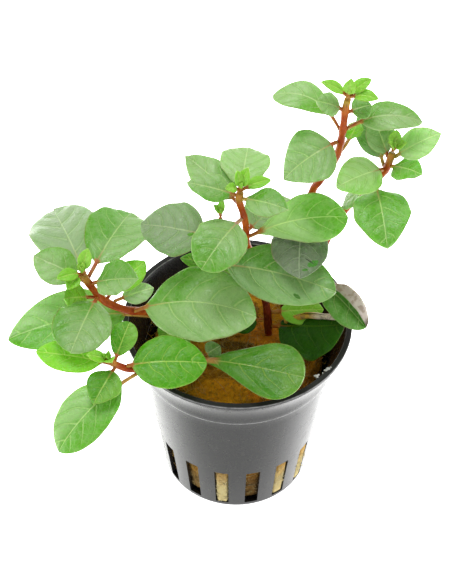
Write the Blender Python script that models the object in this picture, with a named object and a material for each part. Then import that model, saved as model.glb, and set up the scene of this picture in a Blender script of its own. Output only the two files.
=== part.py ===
"""A potted creeping primrose willow: leafy shoots in a slotted plant pot with rock wool.

The origin is the middle of the pot's base, +Z up and -Y to the front. All sizes below are
in millimetres and are turned into metres where the meshes are made.
"""

import math

import bmesh
import bpy
from mathutils import Matrix, Vector

MM = 0.001
GAP = 0.3

# Pot: outer radii and heights, the rim and the slots in the wall and the floor
POT_HEIGHT = 50.0
POT_BASE_RADIUS = 18.4
POT_NECK_RADIUS = 23.4
POT_COLLAR_RADIUS = 24.3
POT_RIM_RADIUS = 27.5
POT_RIM_INNER_RADIUS = 26.1
POT_COLLAR_Z = 40.0
POT_WALL = 0.9
POT_FLOOR = 1.3
POT_SEGMENTS = 48
POT_FOOT_CHAMFER = 0.6
POT_COLLAR_STEP = 0.6
POT_FLARE_START_Z = 45.0
POT_RIM_DROP = 1.0
SLOT_COUNT = 16
SLOT_TURN = math.radians(1.6)
SLOT_HALF_ANGLE = math.radians(5.0)
SLOT_BOTTOM_Z = 1.6
SLOT_TOP_Z = 15.6
FLOOR_SLOT_COUNT = 8
FLOOR_SLOT_WIDTH = 2.4
FLOOR_SLOT_START = 5.5
FLOOR_SLOT_END = 14.0

# Rock wool: one soft plug that fills the pot to some way below the rim
WOOL_TOP_Z = 43.5
WOOL_SHOULDER_Z = 37.0
WOOL_SEGMENTS = 32
WOOL_SIDE_GAP = 0.5
WOOL_MIDDLE_Z = 20.0
WOOL_SHOULDER_INSET = 1.6
WOOL_SHOULDER_RISE = 3.0
WOOL_CROWN_RADIUS = 16.0
WOOL_CENTRE_RADIUS = 8.0
WOOL_LUMP = 0.6
SOCKET_LEAN = 0.03

# Stems: radius at the foot, radius at the tip, and the points that each one grows through
STEM_SIDES = 8
STEM_STEP = 5.0
STEM_END_GAP = 0.7
STEMS = {
    "stem_left": (0.95, 0.8, [
        (-9, 0, 38), (-9.5, -0.5, 45), (-13, -1.5, 51), (-20.3, -3.1, 55.3), (-25.8, -4.6, 57.5),
        (-29.9, -4.6, 59.5), (-32.1, -4.6, 61.8), (-34.2, -4.8, 66), (-35.4, -4.9, 69),
    ]),
    "stem_front_left": (0.85, 0.7, [
        (-8, -9, 38), (-8.5, -9.5, 45), (-12.5, -13.5, 50.5), (-19.9, -19.2, 54), (-24.4, -21.1, 55.5),
        (-27.1, -21.4, 57), (-28.6, -22.2, 59),
    ]),
    "stem_centre": (0.95, 0.75, [
        (7.5, 1.5, 38), (7.4, 1.7, 46), (6.6, 3.2, 53), (3.8, 6.4, 63), (1.8, 4.4, 71.5),
        (1.5, 3.2, 78), (0.8, 3.2, 82), (-0.1, 3.0, 86.0), (0.1, 3.1, 88.4),
    ]),
    "stem_slender": (0.7, 0.5, [
        (-3.5, -1.0, 38), (-4.0, 1.0, 55), (-4.6, 2.3, 66), (-4.6, 2.8, 74), (-4.3, 3.6, 80),
    ]),
    "stem_tall": (1.05, 0.75, [
        (11.5, 10.5, 38), (12, 11, 57), (16.3, 11.2, 80), (18.1, 10.9, 85), (20.1, 9.8, 90),
        (21.7, 8.9, 95.5), (22.3, 7.6, 103), (22.5, 6.8, 110), (22.8, 6.6, 113),
    ]),
    "stem_right": (1.0, 0.75, [
        (17, 4.5, 38), (17.5, 6, 55), (20.5, 9.5, 67), (24.3, 10.7, 76), (28.0, 9.2, 83), (30.2, 8.0, 87.5),
        (32.5, 7.4, 92), (33.3, 6.8, 96), (33.6, 7.0, 97.6),
    ]),
}

# Leaf blades: the outline's half width from blade foot to tip, as shares of the half width
OUTLINE = [
    (0.0, 0.10), (0.14, 0.56), (0.36, 0.95), (0.58, 0.97), (0.79, 0.70), (0.93, 0.34), (1.0, 0.05),
]
SMALL_OUTLINE = [(0.0, 0.14), (0.25, 0.80), (0.55, 0.97), (0.85, 0.54), (1.0, 0.08)]
SMALL_WIDTH = 9.8
LEAF_THICKNESS = 0.5
PETIOLE_HALF_WIDTH = 0.45
LEAF_FACING = Vector((0.0, -0.35, 1.0))
CONVEX = 0.12

# Leaves: stem, height of the leaf's node on it, tip, blade width, petiole length,
# roll about the leaf's own axis, arch as a share of its length, fold of its halves in degrees,
# and bend to the side as a share of its length
LEAVES = {
    "leaf_left_back": ("stem_left", 66.5, (-45.5, 24.0, 62), 16.8, 3, 0, 0.10, 8, 0),
    "leaf_left_top": ("stem_left", 67.5, (-26.0, 17.6, 68), 14.8, 4, 0, 0.08, 10, 0),
    "leaf_left_outer": ("stem_left", 67.0, (-47.3, -0.6, 71), 9.6, 2, 0, 0.06, 10, 0),
    "leaf_left_inner": ("stem_left", 66.5, (-22.8, -8.6, 72.2), 9.7, 1.5, 0, 0.06, 20, 0),
    "leaf_left_long": ("stem_left", 52.0, (-53.3, -12.4, 55), 15, 12, 0, 0.06, 6, 0.07),
    "leaf_left_front": ("stem_left", 62.5, (-37.4, -22.5, 62), 13.6, 2, 0, 0.10, 8, 0),
    "leaf_left_under": ("stem_left", 62.5, (-40.2, -7.0, 63.5), 8, 2, 0, 0.05, 10, 0),
    "leaf_left_young": ("stem_left", 60.4, (-21.9, 3.6, 65.6), 7, 2, 0, 0.10, 8, 0),
    "leaf_left_pale": ("stem_left", 59.2, (-19.8, -0.6, 61), 5.5, 2, 0, 0.05, 0, 0),
    "leaf_broad": ("stem_left", 57.0, (4.2, -11.2, 63), 19.2, 4, 0, 0.05, 5, -0.08),
    "leaf_low_upright": ("stem_front_left", 58.0, (-24.5, -14.2, 63.8), 6.2, 0.8, 0, 0.06, 10, 0),
    "leaf_low_outer": ("stem_front_left", 57.8, (-46.0, -18.5, 58), 8.5, 2, 0, 0.05, 10, 0),
    "leaf_low_front": ("stem_front_left", 57.5, (-32.0, -31.4, 55), 8, 1, 0, 0.06, 8, 0),
    "leaf_low_hanging": ("stem_front_left", 54.8, (-40.0, -37.2, 45.2), 12, 5, 0, 0.10, 8, 0.04),
    "leaf_low_inner": ("stem_front_left", 56.0, (-6.8, -19.9, 56.6), 13, 1.2, 0, 0.05, 6, -0.02),
    "leaf_front": ("stem_front_left", 50.5, (15.3, -23.2, 56), 13.8, 8, 0, 0.08, 6, 0),
    "leaf_centre_right": ("stem_centre", 74.0, (24.9, 4.8, 79.6), 11.8, 3, 10, 0.08, 8, -0.05),
    "leaf_centre_front": ("stem_centre", 81.0, (-8.2, -10.5, 77.5), 12.5, 2, 0, 0.12, 8, 0),
    "leaf_centre_back": ("stem_centre", 84.8, (-12.7, 15.0, 88.4), 9.4, 1.5, 0, 0.08, 8, 0),
    "leaf_centre_left": ("stem_centre", 87.5, (-11.9, 4.4, 90), 7, 1, 0, 0.05, 10, 0),
    "leaf_centre_top": ("stem_centre", 87.5, (1.7, 17.5, 89), 11.5, 2, 0, 0.08, 10, 0),
    "leaf_centre_side": ("stem_centre", 87.0, (10.7, -2.6, 88.8), 7.4, 0.8, 0, 0.06, 10, 0),
    "leaf_centre_grey": ("stem_centre", 75.8, (11.4, 15.4, 75.6), 11.4, 1, 0, 0.04, 6, 0),
    "leaf_back": ("stem_slender", 74.0, (-22.8, 7.2, 73.9), 13.8, 3, 0, 0.08, 6, 0),
    "leaf_inside_back": ("stem_centre", 60.0, (-13.9, 8.1, 62), 6, 2, 0, 0.05, 6, 0),
    "leaf_middle": ("stem_slender", 66.3, (22.1, -9.1, 69.7), 14.0, 1.4, 14, 0.06, 5, -0.03),
    "leaf_old": ("stem_tall", 73.7, (13.7, -9.3, 74.5), 13.4, 3, 0, 0.04, 5, 0.02),
    "leaf_folded": ("stem_right", 58.0, (30.4, -4.0, 52), 9.7, 2, 0, 0.10, 14, 0),
    "leaf_inside_right": ("stem_centre", 46.3, (25.2, -6.2, 51.2), 14.6, 2, -8, 0.03, 5, 0.04),
    "leaf_inside_young": ("stem_centre", 52.5, (21.0, -3.6, 55.6), 7.6, 2, 0, 0.03, 5, 0),
    "leaf_inside_dark": ("stem_centre", 48.0, (-2.2, 0.4, 48.5), 7, 1.5, 0, 0.03, 5, 0),
    "leaf_inside_left": ("stem_front_left", 46.0, (-19.0, -1.8, 49.0), 6, 2, 0, 0.03, 5, 0),
    "leaf_inside_pale": ("stem_front_left", 46.5, (-4.0, -7.4, 48.6), 5, 1.5, 0, 0.03, 5, 0),
    "leaf_tall_front": ("stem_tall", 100.0, (9.8, 3.2, 92.4), 13.2, 1.2, 0, 0.14, 8, 0),
    "leaf_tall_edge": ("stem_tall", 95.5, (25.5, 9.4, 104.5), 5, 4.5, 62, 0.05, 5, 0),
    "leaf_tall_left": ("stem_tall", 103.5, (6.9, 13.5, 108), 7.5, 3, 0, 0.14, 8, 0.14),
    "leaf_tall_pale": ("stem_tall", 110.0, (16.1, 6.2, 112.5), 6, 0.5, 0, 0.08, 8, 0),
    "leaf_tall_right": ("stem_tall", 104.0, (39.5, 7.6, 106), 7.5, 3, 0, 0.12, 8, -0.08),
    "leaf_tall_back": ("stem_tall", 109.0, (28.2, 8.3, 110), 6, 0.6, 0, 0.06, 8, 0),
    "leaf_right_hanging": ("stem_right", 88.0, (32.7, -9.5, 84), 13, 2, 0, 0.12, 8, 0),
    "leaf_right_inner": ("stem_right", 92.6, (21.4, 1.6, 91.8), 9.8, 0.8, 0, 0.10, 8, 0),
    "leaf_right_up": ("stem_right", 92.5, (27.2, 15.5, 104), 8.6, 2, 0, 0.06, 10, 0),
    "leaf_right_top": ("stem_right", 96.0, (28.8, 11.0, 105), 7, 0.8, 0, 0.05, 10, 0),
    "leaf_right_edge": ("stem_right", 86.5, (23.4, 6.0, 81.5), 6.4, 2, 40, 0.05, 5, 0),
    "leaf_right_outer": ("stem_right", 96.5, (44.0, 8.4, 102.4), 7.6, 1.2, 0, 0.08, 8, 0),
    "leaf_right_low": ("stem_right", 94.2, (39.8, 0.7, 97.0), 7, 1, 0, 0.06, 8, 0),
}

# Shoot tips: stem, and the young leaves of the tip as (tip point from the stem's end, width)
TIP_CORE_RADIUS = 1.0
TIPS = {
    "shoot_tip_left": ("stem_left", [
        ((1.6, 3.0, 4.5), 3.5), ((-5.2, -3.2, 0.8), 3.5), ((-3.0, -4.0, -1.8), 3.5),
    ]),
    "shoot_tip_front_left": ("stem_front_left", [
        ((-4.2, -1.2, 3.0), 3.0), ((1.5, -2.4, 2.0), 2.8),
    ]),
    "shoot_tip_centre": ("stem_centre", [
        ((1.4, 1.2, 4.8), 3.0), ((-1.0, 0.6, 4.4), 2.4), ((-3.6, -1.4, 0.8), 2.6), ((6.6, 2.6, 0.0), 3.2),
    ]),
    "shoot_tip_slender": ("stem_slender", [
        ((-1.6, -0.4, 2.6), 1.6), ((0.3, 0.2, 4.0), 1.8),
    ]),
    "shoot_tip_tall": ("stem_tall", [
        ((-6.2, 0.5, 2.6), 2.8), ((0.2, -0.3, 4.2), 3.0), ((4.6, 2.0, 2.4), 3.2), ((6.2, -1.6, 0.0), 3.2),
    ]),
    "shoot_tip_right": ("stem_right", [
        ((0.4, 1.5, 3.5), 3.0), ((2.5, -1.0, 2.0), 2.5), ((-1.5, -1.5, 2.5), 2.5),
    ]),
}


def clear_scene():
    for old in list(bpy.data.objects):
        bpy.data.objects.remove(old, do_unlink=True)


def material(name, colour, roughness):
    made = bpy.data.materials.new(name)
    made.use_nodes = True
    shader = made.node_tree.nodes["Principled BSDF"]
    shader.inputs["Base Color"].default_value = (*colour, 1.0)
    shader.inputs["Roughness"].default_value = roughness
    shader.inputs["Metallic"].default_value = 0.0
    return made


def add_object(name, mesh, look):
    mesh.materials.append(look)
    made = bpy.data.objects.new(name, mesh)
    bpy.context.scene.collection.objects.link(made)
    return made


def mesh_from(name, points, faces, smooth=True):
    """A closed mesh with its faces pointing out, from points in millimetres."""
    mesh = bpy.data.meshes.new(name)
    mesh.from_pydata([tuple(c * MM for c in p) for p in points], [], faces)
    shape = bmesh.new()
    shape.from_mesh(mesh)
    bmesh.ops.recalc_face_normals(shape, faces=shape.faces)
    shape.to_mesh(mesh)
    shape.free()
    if smooth:
        mesh.shade_smooth()
        mesh.set_sharp_from_angle(angle=math.radians(40))
    return mesh


def turned(name, profile, segments):
    """A solid of revolution about Z whose profile starts and ends on the axis."""
    points = [(0.0, 0.0, profile[0][1])]
    for radius, z in profile[1:-1]:
        for k in range(segments):
            turn = 2 * math.pi * k / segments
            points.append((radius * math.cos(turn), radius * math.sin(turn), z))
    points.append((0.0, 0.0, profile[-1][1]))
    faces = []
    rings = len(profile) - 2
    for k in range(segments):
        after = (k + 1) % segments
        faces.append((0, 1 + after, 1 + k))
        for ring in range(rings - 1):
            low = 1 + ring * segments
            high = low + segments
            faces.append((low + k, low + after, high + after, high + k))
        last = 1 + (rings - 1) * segments
        faces.append((last + k, last + after, len(points) - 1))
    return mesh_from(name, points, faces)


def cut_by(target, cutter):
    """Takes the cutter's shape out of the target and hides the cutter."""
    cutter.hide_render = True
    cutter.display_type = "WIRE"
    cut = target.modifiers.new("cut", "BOOLEAN")
    cut.operation = "DIFFERENCE"
    cut.solver = "EXACT"
    cut.object = cutter


def cutter_from(name, boxes):
    """One hidden mesh of separate blocks, each given as its eight corners."""
    points = []
    faces = []
    for corners in boxes:
        first = len(points)
        points.extend(corners)
        for side in ((0, 1, 2, 3), (7, 6, 5, 4), (0, 4, 5, 1), (1, 5, 6, 2), (2, 6, 7, 3), (3, 7, 4, 0)):
            faces.append(tuple(first + k for k in side))
    mesh = mesh_from(name, points, faces, smooth=False)
    made = bpy.data.objects.new(name, mesh)
    bpy.context.scene.collection.objects.link(made)
    return made


def wall_slot(turn):
    """A block through the pot's wall, wider outside, between the slot's two edges."""
    near = POT_BASE_RADIUS - 4.0
    far = POT_NECK_RADIUS + 2.0
    corners = []
    for z in (SLOT_BOTTOM_Z, SLOT_TOP_Z):
        for radius, side in ((near, -1), (far, -1), (far, 1), (near, 1)):
            angle = turn + side * SLOT_HALF_ANGLE
            corners.append((radius * math.cos(angle), radius * math.sin(angle), z))
    return corners


def floor_slot(turn):
    """A block through the pot's floor along one radius."""
    along = Vector((math.cos(turn), math.sin(turn), 0))
    across = Vector((-along.y, along.x, 0)) * (FLOOR_SLOT_WIDTH / 2)
    corners = []
    for z in (-1.0, POT_FLOOR + 1.0):
        for radius, side in (
            (FLOOR_SLOT_START, -1),
            (FLOOR_SLOT_END, -1),
            (FLOOR_SLOT_END, 1),
            (FLOOR_SLOT_START, 1),
        ):
            corners.append(tuple(along * radius + across * side + Vector((0, 0, z))))
    return corners


def pot_inner_radius(z):
    """The inside of the tapered wall at one height."""
    share = z / POT_COLLAR_Z
    return POT_BASE_RADIUS + (POT_NECK_RADIUS - POT_BASE_RADIUS) * share - POT_WALL


def make_pot(look):
    profile = [
        (0.0, 0.0),
        (POT_BASE_RADIUS - POT_FOOT_CHAMFER, 0.0),
        (POT_BASE_RADIUS, POT_FOOT_CHAMFER),
        (POT_NECK_RADIUS, POT_COLLAR_Z - POT_COLLAR_STEP),
        (POT_COLLAR_RADIUS, POT_COLLAR_Z),
        (POT_COLLAR_RADIUS + 1.0, POT_FLARE_START_Z),
        (POT_RIM_RADIUS - 0.8, POT_HEIGHT - POT_RIM_DROP - 0.6),
        (POT_RIM_RADIUS, POT_HEIGHT - POT_RIM_DROP),
        (POT_RIM_RADIUS, POT_HEIGHT),
        (POT_RIM_INNER_RADIUS, POT_HEIGHT),
        (POT_COLLAR_RADIUS + 0.3, POT_FLARE_START_Z + 0.5),
        (pot_inner_radius(POT_COLLAR_Z), POT_COLLAR_Z),
        (pot_inner_radius(POT_FLOOR), POT_FLOOR),
        (0.0, POT_FLOOR),
    ]
    pot = add_object("pot", turned("pot", profile, POT_SEGMENTS), look)
    front = -math.pi / 2 + SLOT_TURN + math.pi / SLOT_COUNT
    slots = [wall_slot(front + 2 * math.pi * k / SLOT_COUNT) for k in range(SLOT_COUNT)]
    cut_by(pot, cutter_from("slot_cutter", slots))
    floor_step = 2 * math.pi / FLOOR_SLOT_COUNT
    floor_slots = [floor_slot(front + floor_step * k) for k in range(FLOOR_SLOT_COUNT)]
    cut_by(pot, cutter_from("floor_slot_cutter", floor_slots))


def make_wool(look):
    """The plug of rock wool, lumpy on top, with a socket for the foot of each stem."""
    rings = []
    for z in (POT_FLOOR + GAP, WOOL_MIDDLE_Z, WOOL_SHOULDER_Z):
        rings.append((pot_inner_radius(z) - WOOL_SIDE_GAP, z, 0.0))
    shoulder = pot_inner_radius(WOOL_SHOULDER_Z) - WOOL_SHOULDER_INSET
    rings.append((shoulder, WOOL_SHOULDER_Z + WOOL_SHOULDER_RISE, 0.8))
    rings.append((WOOL_CROWN_RADIUS, WOOL_TOP_Z - 1.0, 1.0))
    rings.append((WOOL_CENTRE_RADIUS, WOOL_TOP_Z, 0.6))
    points = [(0.0, 0.0, POT_FLOOR + GAP)]
    for radius, z, lump in rings:
        for k in range(WOOL_SEGMENTS):
            turn = 2 * math.pi * k / WOOL_SEGMENTS
            wave = math.sin(3 * turn + radius) + 0.7 * math.sin(5 * turn + 1.3)
            reach = radius - 0.5 * lump * (1 + 0.6 * math.sin(4 * turn + 0.7))
            height = z + lump * WOOL_LUMP * wave
            points.append((reach * math.cos(turn), reach * math.sin(turn), height))
    points.append((0.0, 0.0, WOOL_TOP_Z + 0.3))
    faces = []
    for k in range(WOOL_SEGMENTS):
        after = (k + 1) % WOOL_SEGMENTS
        faces.append((0, 1 + after, 1 + k))
        for ring in range(len(rings) - 1):
            low = 1 + ring * WOOL_SEGMENTS
            high = low + WOOL_SEGMENTS
            faces.append((low + k, low + after, high + after, high + k))
        last = 1 + (len(rings) - 1) * WOOL_SEGMENTS
        faces.append((last + k, last + after, len(points) - 1))
    wool = add_object("rock_wool", mesh_from("rock_wool", points, faces), look)
    sockets = []
    for radius, _, route in STEMS.values():
        x, y, z = route[0]
        reach = (radius + GAP + 0.1) * 1.25
        corners = []
        for height in (z - GAP, WOOL_TOP_Z + 4.0):
            for side_x, side_y in ((-1, -1), (1, -1), (1, 1), (-1, 1)):
                lean = (height - z) * SOCKET_LEAN
                corners.append((x + side_x * reach + lean, y + side_y * reach, height))
        sockets.append(corners)
    cut_by(wool, cutter_from("socket_cutter", sockets))


def smooth_route(route, step):
    """Points about one step apart on a Catmull-Rom curve through the route's points."""
    knots = [Vector(p) for p in route]
    knots = [2 * knots[0] - knots[1]] + knots + [2 * knots[-1] - knots[-2]]
    made = []
    for k in range(1, len(knots) - 2):
        before, start, end, after = knots[k - 1 : k + 3]
        count = max(1, round((end - start).length / step))
        for i in range(count):
            t = i / count
            square = 2 * before - 5 * start + 4 * end - after
            cube = 3 * start - before - 3 * end + after
            made.append(0.5 * (2 * start + (end - before) * t + square * t ** 2 + cube * t ** 3))
    made.append(knots[-2])
    return made


def stem_place(stem, z):
    """The point, direction and radius of a stem at one height."""
    foot, top, route = STEMS[stem]
    path = smooth_route(route, 1.0)
    for low, high in zip(path, path[1:]):
        if low.z <= z <= high.z:
            share = (z - low.z) / (high.z - low.z)
            along = (high - low).normalized()
            done = (z - path[0].z) / (path[-1].z - path[0].z)
            return low.lerp(high, share), along, foot + (top - foot) * done
    raise ValueError(f"{stem} has no point at {z}")


def tube(name, path, radii, sides):
    """A closed round tube along a path, with its rings turned as little as possible."""
    points = []
    across = Vector((1, 0, 0))
    for k, centre in enumerate(path):
        ahead = path[min(k + 1, len(path) - 1)]
        behind = path[max(k - 1, 0)]
        along = (ahead - behind).normalized()
        across = (across - along * across.dot(along)).normalized()
        other = along.cross(across)
        for i in range(sides):
            turn = 2 * math.pi * i / sides
            points.append(tuple(centre + (across * math.cos(turn) + other * math.sin(turn)) * radii[k]))
    faces = [tuple(range(sides))[::-1]]
    for k in range(len(path) - 1):
        for i in range(sides):
            after = (i + 1) % sides
            low = k * sides
            faces.append((low + i, low + after, low + sides + after, low + sides + i))
    last = (len(path) - 1) * sides
    faces.append(tuple(last + i for i in range(sides)))
    return mesh_from(name, points, faces)


def make_stems(look):
    for name, (foot, top, route) in STEMS.items():
        path = smooth_route(route, STEM_STEP)
        radii = [foot + (top - foot) * k / (len(path) - 1) for k in range(len(path))]
        add_object(name, tube(name, path, radii, STEM_SIDES), look)


def leaf_frame(foot, tip, roll):
    """The leaf's own axis, its facing direction and its side direction."""
    along = (tip - foot).normalized()
    facing = (LEAF_FACING - along * LEAF_FACING.dot(along)).normalized()
    facing = Matrix.Rotation(math.radians(roll), 3, along) @ facing
    return along, facing, along.cross(facing)


def leaf_shape(foot, tip, width, petiole, roll, arch, fold, bend):
    """Points and faces of a thin closed leaf: a flat stalk that widens into the blade."""
    length = (tip - foot).length
    _, facing, side = leaf_frame(foot, tip, roll)
    outline = SMALL_OUTLINE if width < SMALL_WIDTH else OUTLINE
    columns = (-1.0, 0.0, 1.0) if width < SMALL_WIDTH else (-1.0, -0.5, 0.0, 0.5, 1.0)
    stations = [(0.0, PETIOLE_HALF_WIDTH)]
    for share, spread in outline:
        along = petiole + (length - petiole) * share
        stations.append((along / length, max(spread * width / 2, LEAF_THICKNESS * 0.5)))
    rise = math.tan(math.radians(fold))
    points = []
    for layer in (0.5, -0.5):
        for t, half in stations:
            bow = 4 * length * t * (1 - t)
            middle = foot.lerp(tip, t) + side * (bend * bow)
            middle = middle + facing * (arch * bow + layer * LEAF_THICKNESS)
            for u in columns:
                lift = half * (rise * abs(u) - CONVEX * u * u)
                points.append(tuple(middle + side * (half * u) + facing * lift))
    across = len(columns)
    rows = len(stations)
    under = across * rows
    faces = []
    for row in range(rows - 1):
        for k in range(across - 1):
            a = row * across + k
            b = a + across
            faces.append((a, a + 1, b + 1, b))
            faces.append((under + b, under + b + 1, under + a + 1, under + a))
        a = row * across
        b = a + across
        faces.append((a, b, under + b, under + a))
        a += across - 1
        b += across - 1
        faces.append((a, under + a, under + b, b))
    for k in range(across - 1):
        a = (rows - 1) * across + k
        faces.append((k, under + k, under + k + 1, k + 1))
        faces.append((a, a + 1, under + a + 1, under + a))
    return points, faces


def leaf_foot(stem, z, tip):
    """Where a leaf's stalk ends: just off the stem's surface, on the side of its tip."""
    centre, along, radius = stem_place(stem, z)
    out = tip - centre
    out = (out - along * out.dot(along)).normalized()
    return centre + out * (radius + GAP + PETIOLE_HALF_WIDTH)


def make_leaves(look):
    for name, (stem, z, tip, *form) in LEAVES.items():
        end = Vector(tip)
        points, faces = leaf_shape(leaf_foot(stem, z, end), end, *form)
        add_object(name, mesh_from(name, points, faces), look)


def make_tips(look):
    """Each shoot tip: the youngest leaves, grown together around a small bud."""
    for name, (stem, leaves) in TIPS.items():
        path = smooth_route(STEMS[stem][2], 1.0)
        upward = (path[-1] - path[-2]).normalized()
        centre = path[-1] + upward * (STEM_END_GAP + TIP_CORE_RADIUS)
        shape = bmesh.new()
        bmesh.ops.create_icosphere(shape, subdivisions=1, radius=TIP_CORE_RADIUS * MM * 1.1)
        bmesh.ops.translate(shape, verts=shape.verts, vec=centre * MM)
        mesh = bpy.data.meshes.new(name)
        shape.to_mesh(mesh)
        shape.free()
        tip = add_object(name, mesh, look)
        for k, (reach, width) in enumerate(leaves):
            points, faces = leaf_shape(centre, centre + Vector(reach), width, 1.0, 0, 0.06, 12, 0)
            part_name = f"{name}_young_{k + 1}"
            young = bpy.data.objects.new(part_name, mesh_from(part_name, points, faces))
            bpy.context.scene.collection.objects.link(young)
            young.hide_render = True
            young.display_type = "WIRE"
            join = tip.modifiers.new("join", "BOOLEAN")
            join.operation = "UNION"
            join.solver = "EXACT"
            join.object = young


def main():
    clear_scene()
    plastic = material("pot_plastic", (0.03, 0.03, 0.03), 0.45)
    wool = material("rock_wool", (0.32, 0.17, 0.05), 0.95)
    stem = material("stem_red", (0.45, 0.12, 0.06), 0.5)
    leaf = material("leaf_green", (0.13, 0.38, 0.07), 0.45)
    young = material("young_leaf_green", (0.25, 0.52, 0.10), 0.45)
    make_pot(plastic)
    make_wool(wool)
    make_stems(stem)
    make_leaves(leaf)
    make_tips(young)


main()
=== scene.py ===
"""The look of a potted creeping primrose willow: veined leaves, red stems, rock wool, roots and pot."""

import math
import random

import bmesh
import bpy
import numpy as np
from mathutils import Matrix, Vector


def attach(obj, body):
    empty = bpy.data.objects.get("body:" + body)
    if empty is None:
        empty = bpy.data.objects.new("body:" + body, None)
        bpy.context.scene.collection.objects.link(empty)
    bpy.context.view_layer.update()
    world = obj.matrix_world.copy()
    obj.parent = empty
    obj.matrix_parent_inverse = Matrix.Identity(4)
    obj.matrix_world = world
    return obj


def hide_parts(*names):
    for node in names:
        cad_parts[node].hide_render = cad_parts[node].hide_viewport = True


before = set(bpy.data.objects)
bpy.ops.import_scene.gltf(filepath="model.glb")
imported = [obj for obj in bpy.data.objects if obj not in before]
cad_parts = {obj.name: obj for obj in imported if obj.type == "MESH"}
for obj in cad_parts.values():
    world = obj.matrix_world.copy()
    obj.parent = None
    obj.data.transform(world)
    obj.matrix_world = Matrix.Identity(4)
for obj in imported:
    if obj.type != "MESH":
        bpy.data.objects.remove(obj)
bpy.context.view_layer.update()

MM = 0.001
BODY = "root"

# Camera: place in millimetres, axes and lens, worked out from the pot's rim and base
CAMERA_PLACE = (0.0, -263.87, 335.93)
CAMERA_RIGHT = Vector((0.99983, 0.01752, 0.00641))
CAMERA_UP = Vector((-0.01710, 0.72328, 0.69034))
CAMERA_LENS = 100.0
CAMERA_SENSOR = 36.0
CAMERA_CLIP = 10 * MM

# Pot, in millimetres
POT_HEIGHT = 50.0
POT_BASE_RADIUS = 18.4
POT_NECK_RADIUS = 23.4
POT_COLLAR_RADIUS = 24.3
POT_RIM_RADIUS = 27.5
POT_RIM_INNER_RADIUS = 26.1
POT_COLLAR_Z = 40.0
POT_WALL = 0.9
POT_FLOOR = 1.3
SLOT_COUNT = 16
SLOT_TURN = math.radians(1.6)
SLOT_HALF_ANGLE = math.radians(5.0)
SLOT_BOTTOM_Z = 1.6
SLOT_TOP_Z = 15.6
FLOOR_SLOT_COUNT = 8
FLOOR_SLOT_WIDTH = 2.4
FLOOR_SLOT_START = 5.5
FLOOR_SLOT_END = 14.0
SLOT_STEP = 2 * math.pi / SLOT_COUNT
SLOT_FRONT = -math.pi / 2 + SLOT_TURN + SLOT_STEP / 2

# Mesh of the pot: how close the rings beside a slot's ends are, and its columns as shares of a slot's
# half width and of the wall between two slots
SLOT_EDGE = 0.5
SLOT_COLUMNS = (-1.0, -0.82, -0.4, 0.0, 0.4, 0.82, 1.0)
WALL_COLUMNS = (0.12, 0.37, 0.63, 0.88)
SHARP_ANGLE = math.radians(38)

# Stems: gap to the shoot tip, mesh, and how far they swell at a leaf and over what height
STEM_END_GAP = 0.7
STEM_SIDES = 18
STEM_STEP = 0.45
NODE_SWELL = 0.13
NODE_HALF_HEIGHT = 0.9

# Each stem, in millimetres: radius at the foot, radius at the tip, and the points it grows through
STEMS = {
    "stem_left": (0.95, 0.8, [
        (-9, 0, 38), (-9.5, -0.5, 45), (-13, -1.5, 51), (-20.3, -3.1, 55.3), (-25.8, -4.6, 57.5),
        (-29.9, -4.6, 59.5), (-32.1, -4.6, 61.8), (-34.2, -4.8, 66), (-35.4, -4.9, 69),
    ]),
    "stem_front_left": (0.85, 0.7, [
        (-8, -9, 38), (-8.5, -9.5, 45), (-12.5, -13.5, 50.5), (-19.9, -19.2, 54), (-24.4, -21.1, 55.5),
        (-27.1, -21.4, 57), (-28.6, -22.2, 59),
    ]),
    "stem_centre": (0.95, 0.75, [
        (7.5, 1.5, 38), (7.4, 1.7, 46), (6.6, 3.2, 53), (3.8, 6.4, 63), (1.8, 4.4, 71.5),
        (1.5, 3.2, 78), (0.8, 3.2, 82), (-0.1, 3.0, 86.0), (0.1, 3.1, 88.4),
    ]),
    "stem_slender": (0.7, 0.5, [
        (-3.5, -1.0, 38), (-4.0, 1.0, 55), (-4.6, 2.3, 66), (-4.6, 2.8, 74), (-4.3, 3.6, 80),
    ]),
    "stem_tall": (1.05, 0.75, [
        (11.5, 10.5, 38), (12, 11, 57), (16.3, 11.2, 80), (18.1, 10.9, 85), (20.1, 9.8, 90),
        (21.7, 8.9, 95.5), (22.3, 7.6, 103), (22.5, 6.8, 110), (22.8, 6.6, 113),
    ]),
    "stem_right": (1.0, 0.75, [
        (17, 4.5, 38), (17.5, 6, 55), (20.5, 9.5, 67), (24.3, 10.7, 76), (28.0, 9.2, 83), (30.2, 8.0, 87.5),
        (32.5, 7.4, 92), (33.3, 6.8, 96), (33.6, 7.0, 97.6),
    ]),
}

# Leaf blades: mesh rows and columns, facing, thickness, waves, stalk, midrib and side veins
SMALL_WIDTH = 9.8
SMALL_LEAF_GRID = (40, 19)
LEAF_GRID = (58, 27)
LEAF_FACING = Vector((0.0, -0.35, 1.0))
LEAF_OFF_STEM = 0.08
CONVEX = 0.12
THICKNESS = 0.34
THIN_EDGE = 0.14
EDGE_WAVE = 0.045
EDGE_UNEVEN = 0.02
SWAY = 0.02
QUILT = 0.22
QUILT_FULL_WIDTH = 14
STALK_ROWS = 8
STALK_HALF_WIDTH = 0.28
STALK_GAIN = 0.010
STALK_ROUND = 0.55
STALK_FLATNESS = 0.15
BLADE_START = 0.5
BLADE_EASE = 0.16
TIP_HALF_WIDTH = 0.03
FOOT_NARROWING = 0.045
RIB_GROOVE = 0.12
RIB_KEEL = 0.40
VEIN_PAIRS = 4.6
VEIN_SWEEP = 0.12
VEIN_CURVE = 0.30
VEIN_STAGGER = 0.35

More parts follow.
